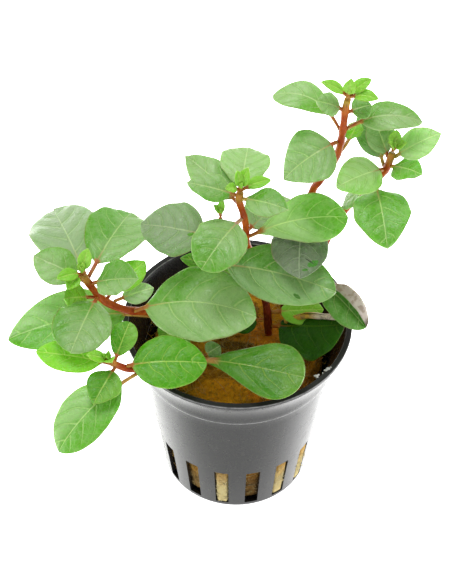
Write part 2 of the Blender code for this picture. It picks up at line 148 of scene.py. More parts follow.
# Blade outlines as powers towards the foot and the tip: smaller is fuller
LEAF_SHAPE = (0.72, 0.78)
LEAF_SHAPES = {
    "leaf_back": (0.48, 0.66),
    "leaf_broad": (0.74, 0.68),
    "leaf_centre_back": (0.62, 1.00),
    "leaf_centre_front": (0.55, 0.55),
    "leaf_centre_grey": (0.50, 0.55),
    "leaf_centre_left": (0.66, 0.86),
    "leaf_centre_right": (1.25, 0.66),
    "leaf_centre_top": (0.62, 0.48),
    "leaf_folded": (0.60, 0.60),
    "leaf_front": (1.85, 0.54),
    "leaf_inside_right": (0.60, 0.54),
    "leaf_left_back": (0.66, 0.50),
    "leaf_left_front": (0.62, 0.52),
    "leaf_left_long": (0.62, 0.72),
    "leaf_left_top": (0.66, 0.46),
    "leaf_low_front": (0.60, 0.80),
    "leaf_low_hanging": (0.70, 0.62),
    "leaf_low_inner": (0.58, 0.64),
    "leaf_low_upright": (0.80, 0.52),
    "leaf_middle": (0.72, 0.66),
    "leaf_old": (0.46, 0.66),
    "leaf_right_hanging": (0.50, 0.78),
    "leaf_right_inner": (0.50, 0.72),
    "leaf_right_low": (0.56, 0.86),
    "leaf_right_outer": (0.72, 0.90),
    "leaf_tall_front": (0.56, 0.96),
    "leaf_tall_left": (0.85, 0.60),
}

# Stalks with a narrow wing of blade: how much of the stalk stays bare
WINGED_STALKS = {"leaf_front": 0.25, "leaf_broad": 0.6, "leaf_centre_right": 0.3}

# Halves that curl up and over: which half, where across it starts and ends, by how many degrees,
# and how much wider the half is
CURLS = {
    "leaf_folded": (-1, 0.40, 0.64, 168.0, 1.55),
    "leaf_inside_right": (-1, 0.26, 0.95, 520.0, 0.95),
}
NO_CURL = (0, 0.5, 1.0, 0.0, 1.0)

# Leaves by stem: height of the node on it, tip, blade width, petiole length, roll, arch, fold,
# bend, and the leaf's colours as a name in LEAF_LOOKS
LEAVES = {
    "stem_left": {
        "leaf_left_back": (66.5, (-45.5, 24.0, 62), 16.8, 3, 0, 0.10, 8, 0, "silver"),
        "leaf_left_top": (67.5, (-26.0, 17.6, 68), 14.8, 4, 0, 0.08, 10, 0, "light"),
        "leaf_left_outer": (67.0, (-47.3, -0.6, 71), 9.6, 2, 0, 0.06, 10, 0, "pale"),
        "leaf_left_inner": (66.5, (-22.8, -8.6, 72.2), 9.7, 1.5, 0, 0.06, 20, 0, "light"),
        "leaf_left_long": (52.0, (-53.3, -12.4, 55), 15, 12, 0, 0.06, 6, 0.07, "light"),
        "leaf_left_front": (62.5, (-37.4, -22.5, 62), 13.6, 2, 0, 0.10, 8, 0, "light"),
        "leaf_left_under": (62.5, (-40.2, -7.0, 63.5), 8, 2, 0, 0.05, 10, 0, "young"),
        "leaf_left_young": (60.4, (-21.9, 3.6, 65.6), 7, 2, 0, 0.10, 8, 0, "young"),
        "leaf_left_pale": (59.2, (-19.8, -0.6, 61), 5.5, 2, 0, 0.05, 0, 0, "silver"),
        "leaf_broad": (57.0, (4.2, -11.2, 63), 19.2, 4, 0, 0.05, 5, -0.08, "light"),
    },
    "stem_front_left": {
        "leaf_low_upright": (58.0, (-24.5, -14.2, 63.8), 6.2, 0.8, 0, 0.06, 10, 0, "fresh"),
        "leaf_low_outer": (57.8, (-46.0, -18.5, 58), 8.5, 2, 0, 0.05, 10, 0, "young"),
        "leaf_low_front": (57.5, (-32.0, -31.4, 55), 8, 1, 0, 0.06, 8, 0, "fresh"),
        "leaf_low_hanging": (54.8, (-40.0, -37.2, 45.2), 12, 5, 0, 0.10, 8, 0.04, "light"),
        "leaf_low_inner": (56.0, (-6.8, -19.9, 56.6), 13, 1.2, 0, 0.05, 6, -0.02, "fresh"),
        "leaf_front": (50.5, (15.3, -23.2, 56), 13.8, 8, 0, 0.08, 6, 0, "fresh"),
        "leaf_inside_left": (46.0, (-19.0, -1.8, 49.0), 6, 2, 0, 0.03, 5, 0, "fresh"),
        "leaf_inside_pale": (46.5, (-4.0, -7.4, 48.6), 5, 1.5, 0, 0.03, 5, 0, "silver"),
    },
    "stem_centre": {
        "leaf_centre_right": (74.0, (24.9, 4.8, 79.6), 11.8, 3, 10, 0.08, 8, -0.05, "light"),
        "leaf_centre_front": (81.0, (-8.2, -10.5, 77.5), 12.5, 2, 0, 0.12, 8, 0, "light"),
        "leaf_centre_back": (84.8, (-12.7, 15.0, 88.4), 9.4, 1.5, 0, 0.08, 8, 0, "pale"),
        "leaf_centre_left": (87.5, (-11.9, 4.4, 90), 7, 1, 0, 0.05, 10, 0, "light"),
        "leaf_centre_top": (87.5, (1.7, 17.5, 89), 11.5, 2, 0, 0.08, 10, 0, "pale"),
        "leaf_centre_side": (87.0, (10.7, -2.6, 88.8), 7.4, 0.8, 0, 0.06, 10, 0, "light"),
        "leaf_centre_grey": (75.8, (11.4, 15.4, 75.6), 11.4, 1, 0, 0.04, 6, 0, "silver"),
        "leaf_inside_back": (60.0, (-13.9, 8.1, 62), 6, 2, 0, 0.05, 6, 0, "fresh"),
        "leaf_inside_right": (46.3, (25.7, -3.9, 53.3), 18.4, 2, -8, 0.03, 5, 0.04, "deep"),
        "leaf_inside_young": (50.0, (20.6, 2.2, 51.4), 7.6, 2, 0, 0.03, 5, 0, "young"),
        "leaf_inside_dark": (48.0, (-2.2, 0.4, 48.5), 7, 1.5, 0, 0.03, 5, 0, "deep"),
    },
    "stem_slender": {
        "leaf_back": (74.0, (-22.8, 7.2, 73.9), 13.8, 3, 0, 0.08, 6, 0, "silver"),
        "leaf_middle": (66.3, (22.1, -9.1, 69.7), 14.0, 1.4, 14, 0.06, 5, -0.03, "green"),
    },
    "stem_tall": {
        "leaf_old": (73.7, (13.7, -9.3, 74.5), 13.4, 3, 0, 0.04, 5, 0.02, "plum"),
        "leaf_tall_front": (100.0, (9.8, 3.2, 92.4), 13.2, 1.2, 0, 0.14, 8, 0, "light"),
        "leaf_tall_edge": (95.5, (25.5, 9.4, 104.5), 5, 4.5, 62, 0.05, 5, 0, "young"),
        "leaf_tall_left": (103.5, (6.9, 13.5, 108), 7.5, 3, 0, 0.14, 8, 0.14, "pale"),
        "leaf_tall_pale": (110.0, (16.1, 6.2, 112.5), 6, 0.5, 0, 0.08, 8, 0, "light"),
        "leaf_tall_right": (104.0, (39.5, 7.6, 106), 7.5, 3, 0, 0.12, 8, -0.08, "pale"),
        "leaf_tall_back": (109.0, (28.2, 8.3, 110), 6, 0.6, 0, 0.06, 8, 0, "light"),
    },
    "stem_right": {
        "leaf_folded": (58.0, (30.4, -4.0, 52), 9.7, 2, 0, 0.10, 14, 0, "green"),
        "leaf_right_hanging": (88.0, (32.7, -9.5, 84), 13, 2, 0, 0.12, 8, 0, "light"),
        "leaf_right_inner": (92.6, (21.4, 1.6, 91.8), 9.8, 0.8, 0, 0.10, 8, 0, "pale"),
        "leaf_right_up": (92.5, (27.2, 15.5, 104), 8.6, 2, 0, 0.06, 10, 0, "green"),
        "leaf_right_top": (96.0, (28.8, 11.0, 105), 7, 0.8, 0, 0.05, 10, 0, "light"),
        "leaf_right_edge": (86.5, (23.4, 6.0, 81.5), 6.4, 2, 40, 0.05, 5, 0, "light"),
        "leaf_right_outer": (96.5, (44.0, 8.4, 102.4), 7.6, 1.2, 0, 0.08, 8, 0, "pale"),
        "leaf_right_low": (94.2, (39.8, 0.7, 97.0), 7, 1, 0, 0.06, 8, 0, "light"),
    },
}

# Shoot tips: stem, and the young leaves as (tip point from the stem's end, width)
TIP_CORE_RADIUS = 1.0
TIPS = {
    "shoot_tip_left": ("stem_left", [
        ((1.6, 3.0, 4.5), 3.5), ((-5.2, -3.2, 0.8), 3.5), ((-3.0, -4.0, -1.8), 3.5),
    ]),
    "shoot_tip_front_left": ("stem_front_left", [
        ((-4.2, -1.2, 3.0), 3.0), ((1.5, -2.4, 2.0), 2.8),
    ]),
    "shoot_tip_centre": ("stem_centre", [
        ((1.4, 1.2, 4.8), 3.0), ((-1.0, 0.6, 4.4), 2.4), ((-3.6, -1.4, 0.8), 2.6), ((6.6, 2.6, 0.0), 3.2),
    ]),
    "shoot_tip_slender": ("stem_slender", [
        ((-1.6, -0.4, 2.6), 1.6), ((0.3, 0.2, 4.0), 1.8),
    ]),
    "shoot_tip_tall": ("stem_tall", [
        ((-6.2, 0.5, 2.6), 2.8), ((0.2, -0.3, 4.2), 3.0), ((4.6, 2.0, 2.4), 3.2), ((6.2, -1.6, 0.0), 3.2),
    ]),
    "shoot_tip_right": ("stem_right", [
        ((0.4, 1.5, 3.5), 3.0), ((2.5, -1.0, 2.0), 2.5), ((-1.5, -1.5, 2.5), 2.5),
    ]),
}

# The bud of folded leaves in a shoot tip, and each young leaf's mesh and its petiole length, roll,
# arch, fold and bend
BUD_LEAVES = [((0.6, 0.5, 2.6), 1.3), ((-0.7, 0.1, 2.2), 1.2), ((0.1, -0.8, 2.0), 1.2)]
TIP_LEAF_GRID = (26, 13)
TIP_LEAF_FORM = (1.2, 0, 0.10, 22, 0)

# Leaf colours, linear: blade, painted sheen in patches, veins, underside. The silver look is a paler blade
# that paints sheen, and the deep look a dark blade that paints the shade down in the pot
LEAF_LOOKS = {
    "young": ((0.170, 0.500, 0.010), (0.280, 0.600, 0.060), (0.480, 0.720, 0.130), (0.340, 0.560, 0.120)),
    "fresh": ((0.060, 0.270, 0.002), (0.170, 0.400, 0.045), (0.400, 0.600, 0.100), (0.280, 0.440, 0.110)),
    "light": ((0.090, 0.310, 0.008), (0.250, 0.430, 0.140), (0.460, 0.640, 0.220), (0.320, 0.460, 0.180)),
    "pale": ((0.150, 0.400, 0.030), (0.330, 0.530, 0.190), (0.540, 0.720, 0.300), (0.360, 0.500, 0.220)),
    "green": ((0.062, 0.240, 0.005), (0.205, 0.370, 0.120), (0.420, 0.580, 0.200), (0.280, 0.400, 0.180)),
    # Paler blade that paints sheen on leaves that catch the light
    "silver": ((0.130, 0.310, 0.050), (0.280, 0.400, 0.200), (0.480, 0.620, 0.290), (0.340, 0.430, 0.250)),
    # Dark blade that paints the shade on leaves low in the pot
    "deep": ((0.012, 0.070, 0.001), (0.022, 0.100, 0.002), (0.080, 0.180, 0.010), (0.070, 0.140, 0.020)),
    "plum": ((0.060, 0.100, 0.042), (0.130, 0.175, 0.100), (0.280, 0.350, 0.210), (0.260, 0.230, 0.210)),
}

# How much each look shines
SHINE = {
    "young": 0.35, "fresh": 0.30, "light": 0.42, "pale": 0.36,
    "green": 0.42, "silver": 0.30, "deep": 0.12, "plum": 0.35,
}

# Where the painted sheen lies on a leaf, as pale grey-green patches: change across it and along it, amount
# at its foot, and brightness
PAINTED_SHEEN = {
    "leaf_back": (0.20, 0.00, 0.80, 0.80),
    "leaf_broad": (0.55, 0.50, 0.50, 1.05),
    "leaf_centre_back": (0.00, 0.00, 0.50, 0.85),
    "leaf_centre_front": (0.10, -1.10, 1.15, 1.00),
    "leaf_centre_grey": (0.00, 0.00, 0.70, 1.10),
    "leaf_centre_left": (0.40, 0.40, 0.25, 1.05),
    "leaf_centre_right": (0.10, -0.80, 1.05, 1.35),
    "leaf_centre_side": (0.60, 0.00, 0.45, 1.00),
    "leaf_centre_top": (0.10, 0.20, 0.70, 1.00),
    "leaf_folded": (0.00, 0.00, 0.15, 1.00),
    "leaf_front": (-0.10, 1.70, -0.98, 0.70),
    "leaf_left_back": (0.00, 0.30, 0.80, 1.00),
    "leaf_left_front": (-0.40, 0.10, 0.60, 0.95),
    "leaf_left_inner": (0.55, 0.00, 0.45, 1.00),
    "leaf_left_long": (0.90, 0.00, 0.40, 1.20),
    "leaf_left_outer": (-0.60, 0.20, 0.45, 0.87),
    "leaf_left_pale": (0.00, 0.00, 0.90, 1.35),
    "leaf_left_top": (0.60, -0.10, 0.55, 1.00),
    "leaf_left_under": (0.00, 0.00, 0.30, 0.90),
    "leaf_low_front": (-0.60, 0.20, 0.30, 1.00),
    "leaf_low_hanging": (0.60, 0.10, 0.40, 1.20),
    "leaf_low_inner": (0.30, -0.30, 0.25, 1.12),
    "leaf_low_outer": (0.10, 1.00, -0.55, 1.20),
    "leaf_low_upright": (0.50, 0.50, 0.05, 1.00),
    "leaf_middle": (0.45, 0.40, 0.40, 1.00),
    "leaf_old": (0.20, 0.00, 0.60, 1.15),
    "leaf_right_hanging": (0.25, -0.20, 0.15, 1.12),
    "leaf_right_inner": (0.30, 0.10, 0.70, 1.28),
    "leaf_right_low": (0.20, 0.50, 0.05, 1.25),
    "leaf_right_outer": (0.10, 0.20, 0.65, 1.22),
    "leaf_tall_front": (-0.20, 0.10, 0.75, 0.95),
    "leaf_tall_left": (0.10, 0.90, 0.00, 0.92),
    "leaf_tall_right": (0.50, 0.20, 0.45, 0.85),
}
PAINTED_SHEEN_EVEN = (0.0, 0.0, 0.5, 1.0)

# Torn and browned places on leaves: centre, half sizes, turn about Z in degrees, colour
MARKS = {
    "leaf_old": [
        ((16.8, -5.4, 75.0), (1.6, 0.9, 4.0), 40, (0.035, 0.19, 0.004)),
        ((15.0, -7.3, 75.0), (0.8, 0.45, 4.0), 20, (0.040, 0.18, 0.006)),
        ((16.0, -4.6, 75.0), (1.4, 0.22, 4.0), -40, (0.02, 0.03, 0.01)),
    ],
    "leaf_middle": [((13.4, -9.4, 68.0), (1.1, 0.35, 4.0), -35, (0.05, 0.17, 0.010))],
    "leaf_back": [((-11.0, 3.2, 76.0), (1.1, 0.5, 5.0), 20, (0.10, 0.30, 0.02))],
}

# Stalk colours, linear
STALK_RED = (0.36, 0.075, 0.010)
STALK_YELLOW = (0.46, 0.34, 0.06)
STALKS = {
    "leaf_centre_front": (0.55, 0.30, 0.22),
    "leaf_centre_side": STALK_YELLOW,
    "leaf_front": (0.46, 0.17, 0.07),
    "leaf_left_long": (0.50, 0.26, 0.06),
    "leaf_left_pale": (0.50, 0.12, 0.02),
    "leaf_low_hanging": (0.48, 0.22, 0.05),
    "leaf_right_edge": STALK_YELLOW,
    "leaf_right_low": STALK_YELLOW,
    "leaf_right_outer": STALK_YELLOW,
    "leaf_right_up": STALK_YELLOW,
    "leaf_tall_edge": (0.48, 0.24, 0.03),
}

# Undersides that show, linear: pinkish grey where the folded leaf turns over, tan to pink on the rolled one
CURLED_COLOURS = {
    "leaf_folded": ((0.42, 0.36, 0.30), (0.52, 0.46, 0.40)),
    "leaf_inside_right": ((0.62, 0.36, 0.05), (0.86, 0.74, 0.58)),
}


def clamp(value, low=0.0, high=1.0):
    return max(low, min(high, value))


def link_mesh(name, points, faces, smooth=True):
    """A mesh object from points in millimetres."""
    mesh = bpy.data.meshes.new(name)
    mesh.from_pydata((np.asarray(points, float) * MM).tolist(), [], faces)
    mesh.validate()
    if smooth:
        mesh.shade_smooth()
    made = bpy.data.objects.new(name, mesh)
    bpy.context.scene.collection.objects.link(made)
    return made


def face_outward(piece, weld=0.0):
    """Joins points closer than the weld distance in metres, and turns every face outward."""
    shape = bmesh.new()
    shape.from_mesh(piece.data)
    if weld:
        bmesh.ops.remove_doubles(shape, verts=shape.verts, dist=weld)
    bmesh.ops.recalc_face_normals(shape, faces=shape.faces)
    shape.to_mesh(piece.data)
    shape.free()


def floats(piece, name, values):
    """Stores one number a point on the mesh, for its material to read."""
    layer = piece.data.attributes.new(name, "FLOAT", "POINT")
    layer.data.foreach_set("value", np.asarray(values, np.float32))


def dress(piece, node=None):
    """Puts the piece on the object's body, in place of its solid."""
    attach(piece, BODY)
    if node:
        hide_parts(node)


SHADER_INPUTS = {
    "colour": "Base Color",
    "roughness": "Roughness",
    "bump": "Normal",
    "shine": "Specular IOR Level",
    "ior": "IOR",
    "inside": "Subsurface Weight",
    "inside_radius": "Subsurface Radius",
    "inside_scale": "Subsurface Scale",
    "glow": "Emission Strength",
    "glow_colour": "Emission Color",
}


class Nodes:
    """Short ways to make a material's nodes."""

    def __init__(self, name):
        self.material = bpy.data.materials.new(name)
        self.material.use_nodes = True
        self.tree = self.material.node_tree
        self.shader = self.tree.nodes["Principled BSDF"]

    def node(self, kind, **settings):
        made = self.tree.nodes.new(kind)
        for key, value in settings.items():
            setattr(made, key, value)
        return made

    def join(self, source, target):
        self.tree.links.new(source, target)

    def put(self, value, socket):
        """Links a socket, or sets a plain value on the socket."""
        if hasattr(value, "is_linked"):
            self.join(value, socket)
        else:
            socket.default_value = value

    def finish(self, **values):
        """Sets the shader's inputs, each to a plain value or to another node's output."""
        for key, value in values.items():
            self.put(value, self.shader.inputs[SHADER_INPUTS[key]])
        return self.material

    def attribute(self, name):
        return self.node("ShaderNodeAttribute", attribute_name=name).outputs["Fac"]

    def math(self, operation, a, b=0.0, c=0.0):
        made = self.node("ShaderNodeMath", operation=operation)
        for value, socket in zip((a, b, c), made.inputs):
            self.put(value, socket)
        return made.outputs[0]

    def times(self, a, b):
        return self.math("MULTIPLY", a, b)

    def plus(self, a, b):
        return self.math("ADD", a, b)

    def line(self, value, slope, start):
        """The value times the slope, plus the start."""
        return self.math("MULTIPLY_ADD", value, slope, start)

    def ramp(self, value, low, high, out_low=0.0, out_high=1.0):
        made = self.node("ShaderNodeMapRange", interpolation_type="SMOOTHSTEP")
        for item, socket in zip((value, low, high, out_low, out_high), made.inputs):
            self.put(item, socket)
        return made.outputs[0]

    def mix(self, share, a, b):
        made = self.node("ShaderNodeMix", data_type="RGBA")
        self.put(share, made.inputs[0])
        for item, socket in ((a, made.inputs[6]), (b, made.inputs[7])):
            self.put((*item, 1.0) if isinstance(item, tuple) and len(item) == 3 else item, socket)
        return made.outputs[2]

    def place(self, scale=(1.0, 1.0, 1.0), shift=(0.0, 0.0, 0.0)):
        """Object coordinates, scaled to one unit a millimetre and shifted by millimetres."""
        spot = self.node("ShaderNodeTexCoord").outputs["Object"]
        sized = self.node("ShaderNodeMapping")
        self.join(spot, sized.inputs["Vector"])
        sized.inputs["Scale"].default_value = tuple(s / MM for s in scale)
        sized.inputs["Location"].default_value = tuple(shift)
        return sized.outputs[0]

    def spot(self, centre, size, turn, tilt=0.0):
        """1 inside a soft-edged oval given in millimetres, and 0 outside it."""
        place = self.node("ShaderNodeTexCoord").outputs["Object"]
        local = self.node("ShaderNodeMapping", vector_type="TEXTURE")
        self.join(place, local.inputs["Vector"])
        local.inputs["Location"].default_value = tuple(c * MM for c in centre)
        local.inputs["Rotation"].default_value = (0.0, math.radians(tilt), math.radians(turn))
        local.inputs["Scale"].default_value = tuple(c * MM for c in size)
        reach = self.node("ShaderNodeVectorMath", operation="LENGTH")
        self.join(local.outputs[0], reach.inputs[0])
        ragged = self.line(self.noise(2.0, 3.0), 0.8, -0.4)
        return self.ramp(self.plus(reach.outputs["Value"], ragged), 0.75, 1.05, 1.0, 0.0)

    def axes(self):
        """The x, y and z of the place, in millimetres."""
        split = self.node("ShaderNodeSeparateXYZ")
        self.join(self.place(), split.inputs[0])
        return split.outputs[0], split.outputs[1], split.outputs[2]

    def band(self, value, low, high, soft):
        """1 between two values and 0 outside them."""
        return self.times(self.ramp(value, low - soft, low), self.ramp(value, high, high + soft, 1.0, 0.0))

    def noise(self, scale, detail=3.0, where=None, roughness=0.5):
        made = self.node("ShaderNodeTexNoise")
        self.join(where or self.place(), made.inputs["Vector"])
        made.inputs["Scale"].default_value = scale
        made.inputs["Detail"].default_value = detail
        made.inputs["Roughness"].default_value = roughness
        return made.outputs["Fac"]

    def cells(self, scale, where=None, feature="DISTANCE_TO_EDGE"):
        made = self.node("ShaderNodeTexVoronoi", feature=feature)
        self.join(where or self.place(), made.inputs["Vector"])
        made.inputs["Scale"].default_value = scale
        return made.outputs["Distance"]

    def bump(self, height, depth, strength=1.0):
        """A bump of the height value, with depth in millimetres."""
        made = self.node("ShaderNodeBump")
        made.inputs["Strength"].default_value = strength
        made.inputs["Distance"].default_value = depth * MM
        self.join(height, made.inputs["Height"])
        return made.outputs[0]


def catmull(a, b, c, d, t):
    """A point between b and c, at share t, on the smooth curve through a, b, c and d."""
    straight = 2 * b + (c - a) * t
    return 0.5 * (straight + (2 * a - 5 * b + 4 * c - d) * t ** 2 + (3 * b - a - 3 * c + d) * t ** 3)


def smooth_route(route, step):
    """Points about one step apart on a Catmull-Rom curve through the route's points."""
    knots = [Vector(p) for p in route]
    knots = [2 * knots[0] - knots[1]] + knots + [2 * knots[-1] - knots[-2]]
    made = []
    for k in range(1, len(knots) - 2):
        count = max(1, round((knots[k + 1] - knots[k]).length / step))
        made.extend(catmull(*knots[k - 1 : k + 3], i / count) for i in range(count))
    made.append(knots[-2])
    return made


def stem_place(stem, z):
    """The point, direction and radius of a stem at one height."""
    foot, top, route = STEMS[stem]
    path = smooth_route(route, 1.0)
    for low, high in zip(path, path[1:]):
        if low.z <= z <= high.z:
            share = (z - low.z) / (high.z - low.z)
            along = (high - low).normalized()
            done = (z - path[0].z) / (path[-1].z - path[0].z)
            return low.lerp(high, share), along, foot + (top - foot) * done
    raise ValueError(f"{stem} has no point at {z}")


def half_width(share, base_power, tip_power):
    """The blade's half width at a share of its length, 1 at its widest."""
    peak = base_power / (base_power + tip_power)
    most = peak ** base_power * (1 - peak) ** tip_power
    return share ** base_power * (1 - share) ** tip_power / most


def wave(seed, x, count=4):
    """A smooth seeded wave of x, about -1 to 1."""
    draw = random.Random(seed)
    total = np.zeros_like(x)
    for k in range(1, count + 1):
        total += draw.uniform(-1, 1) / k * np.sin(k * math.pi * x + draw.uniform(0, 6.3))
    return total


def ease_in(value, low, high):
    """A smooth step from 0 at low to 1 at high."""
    share = np.clip((value - low) / (high - low), 0, 1)
    return share * share * (3 - 2 * share)


def across_section(u, slope):
    """Sums each cross-section outward from the midrib: places across and up, in half widths."""
    middle = u.shape[1] // 2
    between = (slope[:, 1:] + slope[:, :-1]) / 2
    step = np.diff(u, axis=1)
    out = []
    for part in (np.cos(between) * step, np.sin(between) * step):
        right = np.cumsum(part[:, middle:], 1)
        left = np.cumsum(part[:, :middle][:, ::-1], 1)[:, ::-1]
        out.append((left, right))
    nought = np.zeros((u.shape[0], 1))
    x = np.concatenate([-out[0][0], nought, out[0][1]], 1)
    y = np.concatenate([out[1][0], nought, out[1][1]], 1)
    return x, y


def leaf_axes(foot, tip, roll):
    """A leaf's side and facing directions: it faces up, rolled about its own length."""
    along = (tip - foot).normalized()
    facing = (LEAF_FACING - along * LEAF_FACING.dot(along)).normalized()
    facing = Matrix.Rotation(math.radians(roll), 3, along) @ facing
    return np.array(along.cross(facing)), np.array(facing)


def leaf_outline(name, seed, length, width, petiole, rows):
    """Rows from foot to tip: how far along, the share of the blade, and the half width."""
    stalk = np.linspace(0, petiole, STALK_ROWS, endpoint=False)
    share = 0.5 - 0.5 * np.cos(math.pi * np.linspace(0, 1, rows))
    reach = np.concatenate([stalk, petiole + (length - petiole) * share])
    blade = np.concatenate([np.zeros(STALK_ROWS), share])
    stalk_half = (STALK_HALF_WIDTH + STALK_GAIN * width) * (1 - blade) ** 0.6 + TIP_HALF_WIDTH
    blade_half = half_width(blade, *LEAF_SHAPES.get(name, LEAF_SHAPE)) * width / 2
    narrowed = 1 - 0.5 * np.exp(-blade / FOOT_NARROWING)
    blade_half = blade_half * narrowed * (1 + EDGE_UNEVEN * wave(seed + 9, blade * 3))
    return reach, blade, (stalk_half ** 3 + blade_half ** 3) ** (1 / 3)


def curled_half(name, U, V, on_blade):
    """By what angle each point of a leaf is curled over, and how much wider the leaf is there."""
    side, start, end, degrees, widening = CURLS.get(name, NO_CURL)
    half = (np.sign(U) == side) * on_blade
    curled = np.clip((np.abs(U) - start) / (end - start), 0, 1) * half * ease_in(V, 0.02, 0.20)
    wider = 1 + (widening - 1) * half * ease_in(V, 0.05, 0.30)
    return math.radians(degrees) * curled, wider


def vein_phase(seed, width, U, V, spread):
    """Counts the side veins towards the tip: a whole number on a vein, with parts between veins."""
    pairs = VEIN_PAIRS if width >= SMALL_WIDTH else VEIN_PAIRS - 1.0
    phase = pairs * (V - VEIN_SWEEP * spread - VEIN_CURVE * spread ** 2) + VEIN_STAGGER * (U < 0)
    return phase + 0.10 * wave(seed + 2, V * 3) + 0.03 * wave(seed + 3, spread * 2)


def leaf_waves(seed, width, length, U, V):
    """How far the blade's wavy edge and its slow sway lift it."""
    edge_wave = wave(seed, V * 2.2 + 0.4 * np.sign(U)) * np.abs(U) ** 2
    return EDGE_WAVE * width * edge_wave + SWAY * length * wave(seed + 5, V * 1.1) * V


def quilting(phase, U):
    """How much the blade swells between its side veins, 0 at a vein, the midrib and the edge."""
    swell = 0.5 - 0.5 * np.cos(2 * math.pi * phase)
    return swell * np.clip(np.abs(U) * 4, 0, 1) * np.clip((1 - np.abs(U)) * 3, 0, 1)


def leaf_points(name, foot, tip, width, petiole, roll, arch, fold, bend, rows, columns):
    """Both faces of one leaf as points, with what its material reads at each point."""
    seed = sum(ord(c) * (k + 1) for k, c in enumerate(name))
    length = (tip - foot).length
    side, facing = leaf_axes(foot, tip, roll)
    bare_stalk = petiole * WINGED_STALKS.get(name, 1.0)
    reach, blade, half = leaf_outline(name, seed, length, width, bare_stalk, rows)
    # T runs along the leaf and V along its blade, U across it from edge to edge, and H is its half width
    T, U = np.meshgrid(reach / length, np.linspace(-1, 1, columns), indexing="ij")
    V = np.repeat(blade[:, None], columns, 1)
    H = np.repeat(half[:, None], columns, 1)
    on_blade = np.where(V > 0.5, 1.0, ease_in(H, BLADE_START, BLADE_START + BLADE_EASE * width))
    curled, wider = curled_half(name, U, V, on_blade)
    H = H * wider
    slope = math.radians(fold) - 2 * CONVEX * np.abs(U)
    slope = slope * (STALK_FLATNESS + (1 - STALK_FLATNESS) * on_blade) + curled
    x, lift = across_section(U, slope)
    x, lift = x * H, lift * H
    spread = np.abs(U) * (2 * H / width) ** 0.75
    phase = vein_phase(seed, width, U, V, spread)
    size = min(width / QUILT_FULL_WIDTH, 1.0)
    lift = lift + on_blade * (leaf_waves(seed, width, length, U, V) + QUILT * size * quilting(phase, U))
    rib = np.exp(-(U * H / (0.40 + 0.20 * (1 - V))) ** 2) * on_blade * (1 - 0.7 * V)
    thick = THICKNESS + (THIN_EDGE - THICKNESS) * np.abs(U) ** 3 * on_blade
    stalk_round = (1 - on_blade) * STALK_ROUND * np.sqrt(np.clip(1 - U * U, 0, 1))
    bow = 4 * length * T * (1 - T)
    outward = facing * np.cos(slope)[..., None] - side * (np.sin(slope) * np.sign(U))[..., None]
    base = np.array(foot) + np.array(tip - foot) * T[..., None]
    base = base + side * (bend * bow + x)[..., None] + facing * (arch * bow + lift)[..., None]
    top = base + outward * (thick / 2 - RIB_GROOVE * size * rib + stalk_round / 2)[..., None]
    under = base - outward * (thick / 2 + RIB_KEEL * size * rib + stalk_round / 2)[..., None]
    # How much painted sheen each point of the leaf gets
    sheen_across, sheen_along, sheen_start, _ = PAINTED_SHEEN.get(name, PAINTED_SHEEN_EVEN)
    marks = {
        "across": np.abs(U) * H, "reach": V, "phase": phase, "blade": on_blade,
        "edge": np.abs(U), "spread": spread,
        "bloom": np.clip(sheen_start + sheen_across * U + sheen_along * V, 0, 1),
    }
    return top, under, marks


def leaf_faces(rows, columns):
    """Faces of the closed leaf, and which of them look down."""
    count = rows * columns
    row, column = np.meshgrid(np.arange(rows - 1), np.arange(columns - 1), indexing="ij")
    a = (row * columns + column).ravel()
    top = np.stack([a, a + 1, a + columns + 1, a + columns], 1)
    under = np.stack([a, a + columns, a + columns + 1, a + 1], 1) + count
    k = np.arange(rows - 1) * columns
    left = np.stack([k, k + columns, k + columns + count, k + count], 1)
    k = k + columns - 1
    right = np.stack([k, k + count, k + columns + count, k + columns], 1)
    k = np.arange(columns - 1)
    foot = np.stack([k, k + count, k + count + 1, k + 1], 1)
    k = k + (rows - 1) * columns
    tip = np.stack([k, k + 1, k + count + 1, k + count], 1)
    faces = np.concatenate([top, under, left, right, foot, tip])
    down = np.zeros(len(faces), int)
    down[len(top) : len(top) + len(under)] = 1
    return faces, down


def leaf_veins(n, where):
    """Where a leaf's side veins, midrib and fine net are, and how near each place is to a side vein."""
    near = n.math("PINGPONG", n.attribute("phase"), 0.5)
    ragged = n.line(n.noise(0.9, where=where), 0.05, -0.025)
    line_width = n.line(n.attribute("spread"), -0.034, 0.076)
    line = n.ramp(n.plus(near, ragged), 0.008, line_width, 1.0, 0.0)
    side_veins = n.times(line, n.ramp(n.attribute("edge"), 0.45, 0.98, 1.0, 0.10))
    rib_width = n.line(n.attribute("reach"), -0.24, 0.36)
    midrib = n.ramp(n.attribute("across"), 0.0, rib_width, 1.0, 0.0)
    net = n.ramp(n.cells(0.85, where=where), 0.0, 0.14, 1.0, 0.0)
    return side_veins, midrib, net, near


def curled_colour(n, name, where, side_veins):
    """The stained underside that shows where a leaf has curled over, darkest at its tip."""
    reach = n.attribute("reach")
    colour = n.mix(n.ramp(reach, 0.45, 0.65), *CURLED_COLOURS[name])
    stain = n.ramp(n.noise(0.9, 4.0, where=where), 0.46, 0.66, 0.0, 0.6)
    colour = n.mix(stain, colour, (0.20, 0.13, 0.08))
    colour = n.mix(n.times(side_veins, 0.3), colour, (0.30, 0.20, 0.14))
    return n.mix(n.ramp(reach, 0.88, 0.99), colour, (0.06, 0.03, 0.02))


